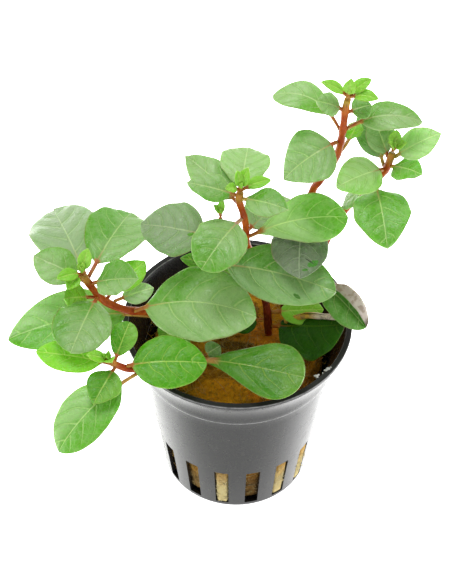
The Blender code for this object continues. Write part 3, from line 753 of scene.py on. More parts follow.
def with_stalk(n, name, where, colour, midrib):
    """The leaf's colour with its coloured stalk, which runs on a little way up the midrib."""
    stalk_colour = STALKS.get(name, STALK_RED)
    streak = n.ramp(n.noise(0.8, 3.0, where=where), 0.3, 0.7, 0.0, 0.6)
    stalk = n.mix(streak, stalk_colour, STALK_YELLOW)
    on_blade = n.ramp(n.attribute("blade"), 0.05, 0.80)
    beside = n.math("MAXIMUM", on_blade, n.ramp(n.attribute("across"), 0.50, 0.95))
    colour = n.mix(beside, stalk, colour)
    tinted = n.times(midrib, n.ramp(n.attribute("reach"), 0.0, 0.30, 0.75, 0.0))
    return n.mix(tinted, colour, stalk_colour)


def leaf_face_material(name, look, facing_down):
    """One face of a waxy leaf: painted sheen in patches, held back beside the sunken side veins, pale veins,
    a fine net and a coloured stalk.
    """
    n = Nodes(f"{name}_{'under' if facing_down else 'top'}")
    brightness = PAINTED_SHEEN.get(name, PAINTED_SHEEN_EVEN)[3]
    blade, bloom, vein, under = [tuple(brightness * c for c in tone) for tone in LEAF_LOOKS[look]]
    where = n.place(shift=Vector((sum(map(ord, name)) % 97, len(name) * 7.0, 0.0)))
    side_veins, midrib, net, near = leaf_veins(n, where)
    # Painted sheen: pale grey-green patches laid where the leaf catches light, plus a speckle of it from the
    # grain noise
    uneven = n.line(n.noise(0.13, 4.0, where=where), 1.5, -0.75)
    painted_sheen_mask = n.ramp(n.plus(n.attribute("bloom"), uneven), 0.25, 0.75)
    grain = n.ramp(n.noise(0.55, 5.0, where=where), 0.30, 0.72)
    colour = n.mix(painted_sheen_mask, blade, bloom)
    colour = n.mix(n.times(grain, 0.35), colour, bloom)
    if facing_down:
        colour = n.mix(0.8, colour, under)
    # Beside each side vein the colour goes part way back to the face's plain colour, so on the top face the
    # painted sheen is weaker in the sunken veins
    hollow = n.ramp(near, 0.03, 0.24, 1.0, 0.0)
    colour = n.mix(n.times(hollow, 0.35), colour, under if facing_down else blade)
    for lines, strength in ((net, 0.10), (side_veins, 0.44), (midrib, 0.85)):
        colour = n.mix(n.times(lines, strength), colour, vein)
    rim = n.ramp(n.attribute("edge"), 0.94, 1.0)
    rim_colour = n.mix(n.ramp(n.noise(0.16, 2.0, where=where), 0.45, 0.60), vein, (0.26, 0.13, 0.04))
    colour = n.mix(n.times(rim, 0.40), colour, rim_colour)
    if facing_down and name in CURLED_COLOURS:
        colour = curled_colour(n, name, where, side_veins)
    for centre, size, turn, tone in MARKS.get(name, []):
        colour = n.mix(n.spot(centre, size, turn), colour, tone)
    relief = n.plus(n.times(side_veins, -0.8), n.times(net, -0.35))
    relief = n.line(n.noise(3.0, 3.0, where=where), 0.4, relief)
    relief = n.line(n.noise(0.45, 2.0, where=where), 1.6, relief)
    return n.finish(
        colour=with_stalk(n, name, where, colour, midrib),
        roughness=n.line(grain, 0.16, 0.55 if facing_down else 0.26),
        bump=n.bump(relief, 0.12, 0.5 if facing_down else 0.75),
        shine=0.25 if facing_down else SHINE[look],
        inside=0.12, inside_radius=(0.0006, 0.0012, 0.0003), inside_scale=1.0)


def leaf_foot(stem, z, tip):
    """Where a leaf's stalk ends: just off the stem's surface, on the side of its tip."""
    centre, along, radius = stem_place(stem, z)
    out = tip - centre
    out = (out - along * out.dot(along)).normalized()
    return centre + out * (radius + LEAF_OFF_STEM)


def leaf_mesh(name, foot, tip, width, form, grid):
    """One closed leaf: its points, its faces, which of them look down, and its marks."""
    top, under, marks = leaf_points(name, foot, tip, width, *form, *grid)
    points = np.concatenate([top.reshape(-1, 3), under.reshape(-1, 3)])
    faces, down = leaf_faces(len(top), grid[1])
    return points, faces, down, {key: np.tile(values.ravel(), 2) for key, values in marks.items()}


def link_leaves(object_name, node, look, leaves):
    """One or more leaves as one piece, with their marks and their two materials."""
    points, faces, down, marks = zip(*leaves)
    first = np.cumsum([0] + [len(own) for own in points])
    faces = np.concatenate([own + start for own, start in zip(faces, first)])
    piece = link_mesh(object_name, np.concatenate(points), faces.tolist())
    for key in marks[0]:
        floats(piece, key, np.concatenate([own[key] for own in marks]))
    for facing_down in (False, True):
        piece.data.materials.append(leaf_face_material(node, look, facing_down))
    piece.data.polygons.foreach_set("material_index", np.concatenate(down))
    dress(piece, node)


def make_leaves():
    """Each leaf from its place on its stem to its tip."""
    for stem, leaves in LEAVES.items():
        for name, (z, tip, width, *form, look) in leaves.items():
            end = Vector(tip)
            grid = LEAF_GRID if width >= SMALL_WIDTH else SMALL_LEAF_GRID
            leaf = leaf_mesh(name, leaf_foot(stem, z, end), end, width, form, grid)
            link_leaves(f"{name}_leaf", name, look, [leaf])


def tube_points(path, radii, sides):
    """Rings of points around a path, turned as little as possible."""
    rings = []
    across = Vector((1, 0, 0))
    for k, centre in enumerate(path):
        along = (path[min(k + 1, len(path) - 1)] - path[max(k - 1, 0)]).normalized()
        across = (across - along * across.dot(along)).normalized()
        other = along.cross(across)
        for i in range(sides):
            turn = 2 * math.pi * i / sides
            rings.append(centre + (across * math.cos(turn) + other * math.sin(turn)) * radii[k])
    return rings


def tube_faces(first, rings, sides):
    """Faces of a closed tube whose points start at the first index."""
    faces = []
    for k in range(rings - 1):
        low = first + k * sides
        for i in range(sides):
            after = (i + 1) % sides
            faces.append((low + i, low + after, low + sides + after, low + sides + i))
    faces.append(tuple(first + i for i in range(sides))[::-1])
    faces.append(tuple(first + (rings - 1) * sides + i for i in range(sides)))
    return faces


def stem_material():
    """Red stem: dark red at the foot, orange-red above, with fine streaks along it."""
    n = Nodes("stem_red")
    reach = n.attribute("reach")
    broken = n.ramp(n.noise(0.35, 3.0), 0.3, 0.7)
    low = n.mix(broken, (0.08, 0.007, 0.003), (0.18, 0.018, 0.004))
    high = n.mix(broken, (0.28, 0.030, 0.003), (0.46, 0.090, 0.005))
    colour = n.mix(n.ramp(reach, 0.30, 0.62), low, high)
    green = n.mix(broken, (0.44, 0.30, 0.04), (0.50, 0.16, 0.03))
    colour = n.mix(n.ramp(reach, 0.93, 1.0), colour, green)
    streak = n.noise(2.2, 3.0, n.place((2.5, 2.5, 0.18)))
    colour = n.mix(n.ramp(streak, 0.5, 0.75, 0.0, 0.35), colour, (0.52, 0.19, 0.04))
    dark = n.ramp(n.noise(1.1, 3.0, n.place((1.0, 1.0, 0.3))), 0.55, 0.75, 0.0, 0.5)
    return n.finish(
        colour=n.mix(dark, colour, (0.10, 0.010, 0.006)),
        roughness=n.line(streak, 0.25, 0.22),
        bump=n.bump(n.plus(streak, n.noise(1.5)), 0.10, 0.6),
        shine=0.18, inside=0.08, inside_radius=(0.0012, 0.0004, 0.0002), inside_scale=1.0)


def make_stems():
    """Each stem as a bowed tube that swells a little where leaves grow on it."""
    look = stem_material()
    for name, (foot, top, route) in STEMS.items():
        nodes = [z for z, *_ in LEAVES[name].values()]
        path = smooth_route(route, STEM_STEP)
        shares = np.arange(len(path)) / (len(path) - 1)
        radii = []
        for share, point in zip(shares, path):
            swell = sum(math.exp(-((point.z - z) / NODE_HALF_HEIGHT) ** 2) for z in nodes)
            radii.append((foot + (top - foot) * share) * (1 + NODE_SWELL * min(swell, 1.2)))
        points = tube_points(path, radii, STEM_SIDES)
        piece = link_mesh(f"{name}_stem", points, tube_faces(0, len(path), STEM_SIDES))
        floats(piece, "reach", np.repeat(shares, STEM_SIDES))
        piece.data.materials.append(look)
        dress(piece, name)


def make_tips():
    """Each shoot tip: its young leaves and a small bud of folded leaves in one mesh."""
    for name, (stem, leaves) in TIPS.items():
        path = smooth_route(STEMS[stem][2], 1.0)
        upward = (path[-1] - path[-2]).normalized()
        centre = path[-1] + upward * (STEM_END_GAP + TIP_CORE_RADIUS)
        foot = centre - upward * TIP_CORE_RADIUS
        young = [leaf_mesh(f"{name}{k}", foot, centre + Vector(reach), width, TIP_LEAF_FORM, TIP_LEAF_GRID)
                 for k, (reach, width) in enumerate(leaves + BUD_LEAVES)]
        link_leaves(f"{name}_young", name, "young", young)


# Scratches, smudges and dried dirt on the pot: centre, half sizes, turn about Z, tilt, colour
POT_MARKS = [
    ((13.3, -20.8, 42.6), (0.95, 0.8, 0.20), 33, -38, (0.004, 0.004, 0.004)),
    ((3.6, -22.7, 36.6), (1.0, 0.8, 0.20), 9, 10, (0.008, 0.008, 0.008)),
    ((6.6, -19.7, 18.8), (0.55, 0.8, 0.16), 18, -50, (0.002, 0.002, 0.002)),
    ((-0.5, -20.3, 15.4), (0.40, 0.8, 0.12), 0, 0, (0.003, 0.003, 0.003)),
    ((23.4, 14.3, 50.0), (0.90, 0.50, 0.8), 30, 0, (0.002, 0.002, 0.002)),
]


def pot_material():
    """Black moulded plastic, half glossy: painted highlight lines along the edges, painted shade on the
    rim's flat top, fine scuffs, scratches and a little dried dirt.
    """
    n = Nodes("pot_black_plastic")
    x, y, z = n.axes()
    radius = n.math("SQRT", n.plus(n.times(x, x), n.times(y, y)))
    scuff = n.ramp(n.noise(0.45, 6.0, roughness=0.7), 0.52, 0.78)
    streak = n.ramp(n.noise(0.8, 3.0, n.place((1.0, 1.0, 0.12))), 0.55, 0.75)
    colour = n.mix(n.times(scuff, 0.4), (0.009, 0.009, 0.0092), (0.030, 0.030, 0.030))
    colour = n.mix(n.times(streak, 0.20), colour, (0.045, 0.044, 0.043))
    # Painted shade: the rim's flat top is darkened
    rim_top = n.ramp(z, POT_HEIGHT - 0.12, POT_HEIGHT - 0.02)
    colour = n.mix(rim_top, colour, (0.006, 0.007, 0.005))
    # Painted highlight lines on the collar's step and the rim's outer and inner edges, broken up by noise
    collar_line = n.band(z, POT_COLLAR_Z - 0.15, POT_COLLAR_Z + 0.20, 0.15)
    near_top = n.ramp(z, POT_HEIGHT - 0.5, POT_HEIGHT - 0.25)
    outer_line = n.ramp(radius, POT_RIM_RADIUS - 0.16, POT_RIM_RADIUS - 0.04)
    inner_line = n.band(radius, POT_RIM_INNER_RADIUS - 0.02, POT_RIM_INNER_RADIUS + 0.10, 0.05)
    rim_lines = n.math("MAXIMUM", n.times(outer_line, near_top), n.times(inner_line, near_top))
    lines = n.math("MAXIMUM", collar_line, rim_lines)
    painted_edge_highlight = n.times(lines, n.ramp(n.noise(0.6, 3.0), 0.3, 0.65, 0.35, 0.95))
    colour = n.mix(painted_edge_highlight, colour, (0.20, 0.20, 0.20))
    speck = n.ramp(n.cells(0.55, feature="F1"), 0.05, 0.14, 1.0, 0.0)
    dirt = n.times(speck, n.ramp(n.noise(0.12, 2.0), 0.58, 0.72))
    colour = n.mix(n.times(dirt, 0.5), colour, (0.25, 0.24, 0.20))
    for centre, size, turn, tilt, tone in POT_MARKS:
        colour = n.mix(n.spot(centre, size, turn, tilt), colour, tone)
    rough = n.plus(n.line(scuff, 0.14, 0.26), n.times(dirt, 0.3))
    grain = n.line(n.noise(2.6, 4.0), 0.5, n.times(scuff, 0.4))
    return n.finish(
        colour=colour, roughness=n.line(rim_top, 0.3, rough),
        bump=n.bump(grain, 0.04, 0.5), ior=1.36)


def wall_radius(z):
    """The outside of the pot's tapered wall."""
    return POT_BASE_RADIUS + (POT_NECK_RADIUS - POT_BASE_RADIUS) * z / POT_COLLAR_Z


def pot_inner_radius(z):
    return wall_radius(z) - POT_WALL


def wall_heights():
    """Heights of the mesh's rings on the wall, with close ones at the ends of the slots."""
    near = SLOT_EDGE
    heights = [near, SLOT_BOTTOM_Z - near, SLOT_BOTTOM_Z, SLOT_BOTTOM_Z + near]
    heights += list(np.linspace(SLOT_BOTTOM_Z + near, SLOT_TOP_Z - near, 8)[1:-1])
    heights += [SLOT_TOP_Z - near, SLOT_TOP_Z, SLOT_TOP_Z + near]
    return heights + list(np.linspace(SLOT_TOP_Z + 2.4, POT_COLLAR_Z - 0.9, 8))


def pot_outside():
    """Radius and height up the outside: base, wall, stepped collar, flare and rim."""
    return [
        (POT_BASE_RADIUS - 0.7, 0.0),
        (POT_BASE_RADIUS - 0.2, 0.12),
        *((wall_radius(z), z) for z in wall_heights()),
        (POT_NECK_RADIUS + 0.02, POT_COLLAR_Z - 0.45),
        (POT_NECK_RADIUS + 0.35, POT_COLLAR_Z - 0.25),
        (POT_COLLAR_RADIUS - 0.08, POT_COLLAR_Z - 0.1),
        (POT_COLLAR_RADIUS, POT_COLLAR_Z + 0.15),
        (POT_COLLAR_RADIUS + 0.15, POT_COLLAR_Z + 1.5),
        (POT_COLLAR_RADIUS + 0.55, POT_COLLAR_Z + 3.5),
        (POT_COLLAR_RADIUS + 1.2, POT_HEIGHT - 4.4),
        (POT_COLLAR_RADIUS + 2.0, POT_HEIGHT - 2.6),
        (POT_RIM_RADIUS - 0.55, POT_HEIGHT - 1.4),
        (POT_RIM_RADIUS - 0.08, POT_HEIGHT - 1.0),
        (POT_RIM_RADIUS, POT_HEIGHT - 0.75),
        (POT_RIM_RADIUS, POT_HEIGHT - 0.15),
        (POT_RIM_RADIUS - 0.15, POT_HEIGHT),
    ]


def pot_inside():
    """Radius and height up the inside: floor, wall, and a flare that steepens up to the rim."""
    neck = pot_inner_radius(POT_COLLAR_Z)
    flare = []
    for z in np.linspace(POT_COLLAR_Z, POT_HEIGHT - 0.9, 10):
        share = (z - POT_COLLAR_Z) / (POT_HEIGHT - POT_COLLAR_Z)
        flare.append((neck + (POT_RIM_INNER_RADIUS - neck) * share ** 1.4, z))
    return [
        (POT_BASE_RADIUS - 1.9, POT_FLOOR),
        (POT_BASE_RADIUS - 1.1, POT_FLOOR + 0.1),
        *((pot_inner_radius(z), z) for z in wall_heights()),
        (pot_inner_radius(POT_COLLAR_Z - 0.4), POT_COLLAR_Z - 0.4),
        *flare,
        (POT_RIM_INNER_RADIUS, POT_HEIGHT - 0.15),
        (POT_RIM_INNER_RADIUS + 0.15, POT_HEIGHT),
    ]


def pot_columns():
    """Angles round the pot, and whether the strip of wall after each one has a slot in it."""
    turns = []
    in_slot = []
    for k in range(SLOT_COUNT):
        middle = SLOT_FRONT + k * SLOT_STEP
        for share in SLOT_COLUMNS:
            turns.append(middle + share * SLOT_HALF_ANGLE)
            in_slot.append(share < SLOT_COLUMNS[-1])
        for share in WALL_COLUMNS:
            turns.append(middle + SLOT_HALF_ANGLE + share * (SLOT_STEP - 2 * SLOT_HALF_ANGLE))
            in_slot.append(False)
    return turns, in_slot


def pot_mesh():
    """Points and faces of the pot as one closed wall whose cells are left out at the slots."""
    turns, in_slot = pot_columns()
    columns = len(turns)
    profiles = {"out": pot_outside(), "in": pot_inside()}
    points = []
    faces = []
    first = {}
    for layer, profile in profiles.items():
        first[layer] = len(points)
        points += [(r * math.cos(turn), r * math.sin(turn), z) for r, z in profile for turn in turns]

    def at(layer, row, column):
        return first[layer] + row * columns + column % columns

    def quad(*corners, flip=False):
        face = [at(*corner) for corner in corners]
        faces.append(face[::-1] if flip else face)

    slot_rows = [i for i, (_, z) in enumerate(profiles["out"]) if SLOT_BOTTOM_Z <= z < SLOT_TOP_Z]
    slot_columns = [j for j in range(columns) if in_slot[j]]
    for layer, profile in profiles.items():
        for i in range(len(profile) - 1):
            for j in range(columns):
                if i not in slot_rows or j not in slot_columns:
                    quad((layer, i, j), (layer, i, j + 1), (layer, i + 1, j + 1), (layer, i + 1, j),
                         flip=layer == "in")
    last_out, last_in = len(profiles["out"]) - 1, len(profiles["in"]) - 1
    for j in range(columns):
        quad(("out", last_out, j), ("out", last_out, j + 1), ("in", last_in, j + 1), ("in", last_in, j))
    for i in slot_rows:
        for j in slot_columns:
            if not in_slot[j - 1]:
                quad(("out", i, j), ("out", i + 1, j), ("in", i + 1, j), ("in", i, j))
            if not in_slot[j + 1]:
                quad(("out", i, j + 1), ("in", i, j + 1), ("in", i + 1, j + 1), ("out", i + 1, j + 1))
            if i == slot_rows[0]:
                quad(("out", i, j), ("in", i, j), ("in", i, j + 1), ("out", i, j + 1))
            if i == slot_rows[-1]:
                quad(("out", i + 1, j), ("out", i + 1, j + 1), ("in", i + 1, j + 1), ("in", i + 1, j))
    for layer, z in (("out", 0.0), ("in", POT_FLOOR)):
        centre = len(points)
        points.append((0, 0, z))
        for j in range(columns):
            ring = [centre, at(layer, 0, j + 1), at(layer, 0, j)]
            faces.append(ring if layer == "out" else ring[::-1])
    return points, faces


def make_floor_cutter():
    """Boxes that cut the slots in the pot's floor."""
    points = []
    faces = []
    corners = ((FLOOR_SLOT_START, -1), (FLOOR_SLOT_END, -1), (FLOOR_SLOT_END, 1), (FLOOR_SLOT_START, 1))
    for k in range(FLOOR_SLOT_COUNT):
        turn = SLOT_FRONT + 2 * math.pi * k / FLOOR_SLOT_COUNT
        along = Vector((math.cos(turn), math.sin(turn), 0))
        across = Vector((-along.y, along.x, 0)) * (FLOOR_SLOT_WIDTH / 2)
        first = len(points)
        for z in (-1.0, POT_FLOOR + 1.0):
            points += [tuple(along * radius + across * side + Vector((0, 0, z))) for radius, side in corners]
        for face in ((3, 2, 1, 0), (4, 5, 6, 7), (0, 1, 5, 4), (1, 2, 6, 5), (2, 3, 7, 6), (3, 0, 4, 7)):
            faces.append(tuple(first + v for v in face))
    return link_mesh("floor_cutter", points, faces, smooth=False)


def cut_away(piece, cutter):
    """Cuts the cutter's shape out of the piece, and removes the cutter."""
    cut = piece.modifiers.new("cut", "BOOLEAN")
    cut.operation = "DIFFERENCE"
    cut.solver = "EXACT"
    cut.object = cutter
    evaluated = piece.evaluated_get(bpy.context.evaluated_depsgraph_get())
    mesh = bpy.data.meshes.new_from_object(evaluated)
    piece.modifiers.clear()
    piece.data = mesh
    bpy.data.objects.remove(cutter, do_unlink=True)


def make_pot():
    """The pot: its wall, with the floor slots cut out of it."""
    piece = link_mesh("pot_shell", *pot_mesh())
    face_outward(piece)
    cut_away(piece, make_floor_cutter())
    piece.data.shade_smooth()
    piece.data.set_sharp_from_angle(angle=SHARP_ANGLE)
    piece.data.materials.clear()
    piece.data.materials.append(pot_material())
    dress(piece, "pot")


# Painted light and shade on the wool's top: golden and orange pools, partly the wool's own tone and partly
# painted light where it lies open, and dark patches of painted shade among the stems and inner leaves:
# centre, half sizes, colour
WOOL_LIGHT_AND_SHADE = [
    ((-3.5, -17.0, 43.0), (8.0, 5.0, 5.0), (0.88, 0.36, 0.010)),
    ((6.5, -16.5, 43.0), (4.0, 4.0, 5.0), (0.80, 0.26, 0.012)),
    ((17.0, -12.5, 43.0), (4.0, 4.0, 5.0), (0.70, 0.24, 0.015)),
    ((6.0, 1.0, 43.0), (5.0, 6.0, 6.0), (0.75, 0.24, 0.012)),
    ((-0.5, -4.2, 43.0), (6.5, 3.0, 6.0), (0.055, 0.030, 0.003)),
    ((3.4, 8.0, 43.0), (2.2, 4.5, 6.0), (0.030, 0.016, 0.002)),
]

# The wool's mesh, how lumpy and rough it is, and where its top, its sides and its underside begin
WOOL_SEED = 7
WOOL_RINGS = 90
WOOL_SECTORS = 288
WOOL_FIBRES = 3000
WOOL_WELD = 0.01 * MM
WOOL_LUMP = 0.55
WOOL_LUMP_INWARD = 0.25
WOOL_GRAIN = 0.14
WOOL_GRAIN_INWARD = 0.12
WOOL_SHOULDER_Z = 36
WOOL_SIDE_RADIUS = 16
WOOL_UNDERSIDE_Z = 1.8

# Outline of the wool, radius and height, from the middle of its underside over the sides to the top
WOOL_OUTLINE = [
    (0.0, 1.7), (15.0, 1.7), (pot_inner_radius(3) - 0.7, 2.2), (pot_inner_radius(20) - 0.6, 20.0),
    (pot_inner_radius(34) - 0.7, 34.0), (pot_inner_radius(38) - 1.2, 38.5), (20.0, 41.2),
    (16.0, 42.7), (9.0, 43.6), (0.0, 43.8),
]

# Strands on the top and in the slots: share of all, places on the outline, lengths, half thickness
TOP_SHARE = 0.45
TOP_PLACES = (0.62, 0.97)
TOP_LENGTHS = (1.5, 5.0)
TOP_THICKNESS = (0.03, 0.06)
TOP_LIFT = 0.25
SIDE_PLACES = (0.23, 0.37)
SIDE_LENGTHS = (0.8, 2.4)
SIDE_THICKNESS = (0.04, 0.09)
STRAND_RINGS = 6
STRAND_SIDES = 3
STRAND_CURL = 0.22
STRAND_END = 0.3
STRAND_CLEARANCE = 0.25
STRAND_LOWEST_Z = 1.9


def wool_material(name, dark, bright, pale):
    """Matted golden wool, dark in the shade of the wall and pale where it shows in a slot, with pools of
    painted light and painted shade on its top.
    """
    n = Nodes(name)
    tone = n.attribute("tone")
    patch = n.ramp(n.noise(0.20, 4.0), 0.38, 0.62)
    colour = n.mix(patch, dark, bright)
    # Pools of painted light and patches of painted shade on the wool's top
    for centre, size, tint in WOOL_LIGHT_AND_SHADE:
        colour = n.mix(n.times(n.spot(centre, size, 0), 0.75), colour, tint)
    strand = n.noise(1.6, 5.0, n.place((1.0, 1.0, 2.2)), 0.7)
    colour = n.mix(n.ramp(strand, 0.42, 0.70, 0.0, 0.6), colour, bright)
    hole = n.ramp(n.noise(0.5, 5.0, roughness=0.6), 0.36, 0.50, 0.6, 0.0)
    colour = n.mix(hole, colour, (0.24, 0.100, 0.006))
    shaded = n.times(n.attribute("shade"), n.ramp(n.noise(0.35, 3.0), 0.25, 0.60, 0.75, 1.0))
    colour = n.mix(shaded, colour, (0.045, 0.018, 0.001))
    colour = n.mix(tone, colour, pale)
    crumb = n.ramp(n.noise(2.6, 3.0, roughness=0.7), 0.40, 0.62, 0.0, 0.55)
    return n.finish(
        colour=n.mix(n.times(crumb, tone), colour, (0.48, 0.34, 0.10)),
        roughness=n.ramp(strand, 0.2, 0.8, 0.75, 0.98), bump=n.bump(strand, 0.5, 0.9), shine=0.15)


# How pale the wool is behind each slot, from the slot right of the front middle and round to the left
SLOT_TONES = [
    0.05, 0.85, 0.95, 0.30, 0.10, 0.50, 0.20, 0.70,
    0.10, 0.40, 0.60, 0.20, 0.30, 0.00, 0.12, 1.00,
]


def nearest_slot(turn):
    """The tone of the slot nearest to an angle, and how far off its middle is."""
    place = (turn - SLOT_FRONT) / SLOT_STEP
    return SLOT_TONES[round(place) % SLOT_COUNT], abs(place - round(place)) * SLOT_STEP


def slot_tone(turn, z):
    """How pale the wool is near the wall, at one place behind the slots."""
    tone, _ = nearest_slot(turn)
    return tone * (0.35 + 0.65 * clamp((13.5 - z) / 5)) * clamp((20 - z) / 5)


def slot_shade(turn, z):
    """How dark the wool is near the wall: darkest low down behind the slots where it is not pale."""
    tone, _ = nearest_slot(turn)
    return clamp(1.0 - 1.6 * tone) * (0.45 + 0.5 * clamp((14.0 - z) / 6)) * clamp((20 - z) / 3)


def slot_window(turn, z):
    """1 in a slot and 0 behind the wall beside it."""
    _, away = nearest_slot(turn)
    return clamp((SLOT_HALF_ANGLE - away) / (SLOT_HALF_ANGLE * 0.25)) * clamp(SLOT_TOP_Z - z)


def slot_bulge(turn, z):
    """How far the wool bulges out into a slot, in millimetres."""
    tone, _ = nearest_slot(turn)
    return (0.25 + 1.35 * tone) * slot_window(turn, z) * clamp((z - 0.6 - 2.5 * (1 - tone)) / 1.2)


def wool_surface(share):
    """The wool's radius and height at a share of the way over its outline."""
    place = share * (len(WOOL_OUTLINE) - 1)
    k = min(int(place), len(WOOL_OUTLINE) - 2)
    (low_radius, low_z), (high_radius, high_z) = WOOL_OUTLINE[k : k + 2]
    return low_radius + (high_radius - low_radius) * (place - k), low_z + (high_z - low_z) * (place - k)


def wool_lump(turn, radius):
    """Wide low lumps over the wool's top."""
    lump = 0.5 * math.sin(3 * turn + 0.35 * radius) + 0.4 * math.sin(5 * turn + 1.3 - 0.5 * radius)
    return lump + 0.35 * math.sin(9 * turn + 0.9 * radius) * math.sin(1.1 * radius + 2)


def make_wool_body(draw):
    """The block of wool: it fills the pot, bulges a little into the slots and is lumpy on top."""
    points = []
    for j in range(WOOL_RINGS + 1):
        for i in range(WOOL_SECTORS):
            turn = 2 * math.pi * i / WOOL_SECTORS
            radius, z = wool_surface(j / WOOL_RINGS)
            top = clamp((z - WOOL_SHOULDER_Z) / 5)
            lump = wool_lump(turn, radius)
            rough = draw.uniform(-1, 1)
            if radius > WOOL_SIDE_RADIUS and z > WOOL_UNDERSIDE_Z:
                radius += slot_bulge(turn, z)
            reach = radius - top * WOOL_LUMP_INWARD * (1 + lump)
            reach -= WOOL_GRAIN_INWARD * abs(rough) * min(radius / 10, 1)
            rise = top * (WOOL_LUMP * lump + WOOL_GRAIN * rough) * min(radius / 6, 1)
            points.append((reach * math.cos(turn), reach * math.sin(turn), z + rise))
    faces = []
    for j in range(WOOL_RINGS):
        low = j * WOOL_SECTORS
        for i in range(WOOL_SECTORS):
            after = (i + 1) % WOOL_SECTORS
            faces.append((low + i, low + after, low + WOOL_SECTORS + after, low + WOOL_SECTORS + i))
    piece = link_mesh("rock_wool_body", points, faces)
    face_outward(piece, WOOL_WELD)
    places = [(math.atan2(vertex.co.y, vertex.co.x), vertex.co.z / MM) for vertex in piece.data.vertices]
    floats(piece, "tone", [slot_tone(*place) for place in places])
    floats(piece, "shade", [slot_shade(*place) for place in places])
    piece.data.materials.append(
        wool_material("wool_mat", (0.320, 0.130, 0.004), (0.540, 0.245, 0.008), (0.58, 0.50, 0.25)))
    dress(piece, "rock_wool")


def inside_pot(spot):
    """The spot, moved in where it would pass through the pot's wall or floor."""
    turn = math.atan2(spot.y, spot.x)
    most = pot_inner_radius(clamp(spot.z, 2, POT_COLLAR_Z)) - STRAND_CLEARANCE
    most += 1.1 * slot_bulge(turn, spot.z) + 0.15 * slot_window(turn, spot.z)
    flat = math.hypot(spot.x, spot.y)
    if flat > most:
        spot.x *= most / flat
        spot.y *= most / flat
    spot.z = max(spot.z, STRAND_LOWEST_Z)
    return spot


def wool_strand(draw):
    """One loose strand: its path, its half thickness, and how pale and how dark it is."""
    turn = draw.uniform(0, 2 * math.pi)
    on_top = draw.random() < TOP_SHARE
    radius, z = wool_surface(draw.uniform(*(TOP_PLACES if on_top else SIDE_PLACES)))
    if on_top:
        heading = Vector((draw.uniform(-1, 1), draw.uniform(-1, 1), draw.uniform(-0.25, 0.45)))
    else:
        middle = round(turn / SLOT_STEP) * SLOT_STEP + SLOT_TURN + SLOT_STEP / 2
        turn = middle + draw.uniform(-1, 1) * SLOT_HALF_ANGLE
        radius += slot_bulge(turn, z)
        heading = Vector((draw.uniform(-1, 1), draw.uniform(-1, 1), draw.uniform(-1, 1)))
        outward = Vector((math.cos(turn), math.sin(turn), 0))
        heading = heading - outward * heading.dot(outward) + outward * draw.uniform(-0.1, 0.12)
    heading.normalize()
    curl = Vector((draw.uniform(-1, 1), draw.uniform(-1, 1), draw.uniform(-1, 0.4)))
    length = draw.uniform(*(TOP_LENGTHS if on_top else SIDE_LENGTHS))
    start = Vector((radius * math.cos(turn), radius * math.sin(turn), z + (TOP_LIFT if on_top else 0)))
    path = []
    for k in range(STRAND_RINGS):
        share = k / (STRAND_RINGS - 1)
        spot = start + heading * (length * share) + curl * (STRAND_CURL * length * share * share)
        path.append(inside_pot(spot))
    thick = draw.uniform(*(TOP_THICKNESS if on_top else SIDE_THICKNESS))
    tone = min(1.0, slot_tone(turn, z) + draw.uniform(0.0, 0.5) ** 1.5)
    return path, thick, tone, 0.8 * slot_shade(turn, z)


def make_wool_fibres(draw):
    """Loose strands on the wool's top and in the slots, as one mesh."""
    points = []
    faces = []
    tones = []
    shades = []
    for _ in range(WOOL_FIBRES):
        path, thick, tone, shade = wool_strand(draw)
        faces.extend(tube_faces(len(points), STRAND_RINGS, STRAND_SIDES))
        radii = [thick] * (STRAND_RINGS - 1) + [thick * STRAND_END]
        points.extend(tube_points(path, radii, STRAND_SIDES))
        tones.extend([tone] * (STRAND_RINGS * STRAND_SIDES))
        shades.extend([shade] * (STRAND_RINGS * STRAND_SIDES))
    piece = link_mesh("rock_wool_fibres", points, faces)
    floats(piece, "tone", tones)
    floats(piece, "shade", shades)
    piece.data.materials.append(
        wool_material("fibre_mat", (0.400, 0.180, 0.008), (0.620, 0.370, 0.030), (0.80, 0.72, 0.44)))
    dress(piece)


def make_wool():
    draw = random.Random(WOOL_SEED)
    make_wool_body(draw)
    make_wool_fibres(draw)


# Roots that come out of the slots at the left: the points they pass, and their half thickness
ROOTS = [
    ((-19.0, -5.6, 22.5), (-20.8, -5.4, 19.4), (-20.5, -5.2, 14.5),
     (-19.9, -5.2, 9.4), (-20.5, -5.0, 5.5), (-20.9, -5.0, 3.1)),
    ((-18.3, -6.2, 14.0), (-19.5, -6.2, 11.0), (-19.2, -6.0, 7.0), (-18.6, -6.0, 3.5), (-18.3, -6.0, 1.2)),
    ((-18.9, -5.0, 17.5), (-20.6, -4.6, 16.0), (-21.4, -4.4, 13.0), (-21.8, -4.4, 10.5)),
]
ROOT_START = 0.11
ROOT_END = 0.05
ROOT_SIDES = 6


def make_roots():
    """A few thin pale roots that come out of the slots."""
    n = Nodes("root_pale")
    look = n.finish(
        colour=n.mix(n.noise(0.8), (0.42, 0.38, 0.28), (0.70, 0.67, 0.58)),
        roughness=n.ramp(n.noise(2.0), 0.3, 0.7, 0.5, 0.8), bump=n.bump(n.noise(3.0), 0.05))
    points = []
    faces = []
    for route in ROOTS:
        path = smooth_route(route, 0.5)
        faces.extend(tube_faces(len(points), len(path), ROOT_SIDES))
        points.extend(tube_points(path, np.linspace(ROOT_START, ROOT_END, len(path)), ROOT_SIDES))
    piece = link_mesh("root_threads", points, faces)
    piece.data.materials.append(look)
    dress(piece)


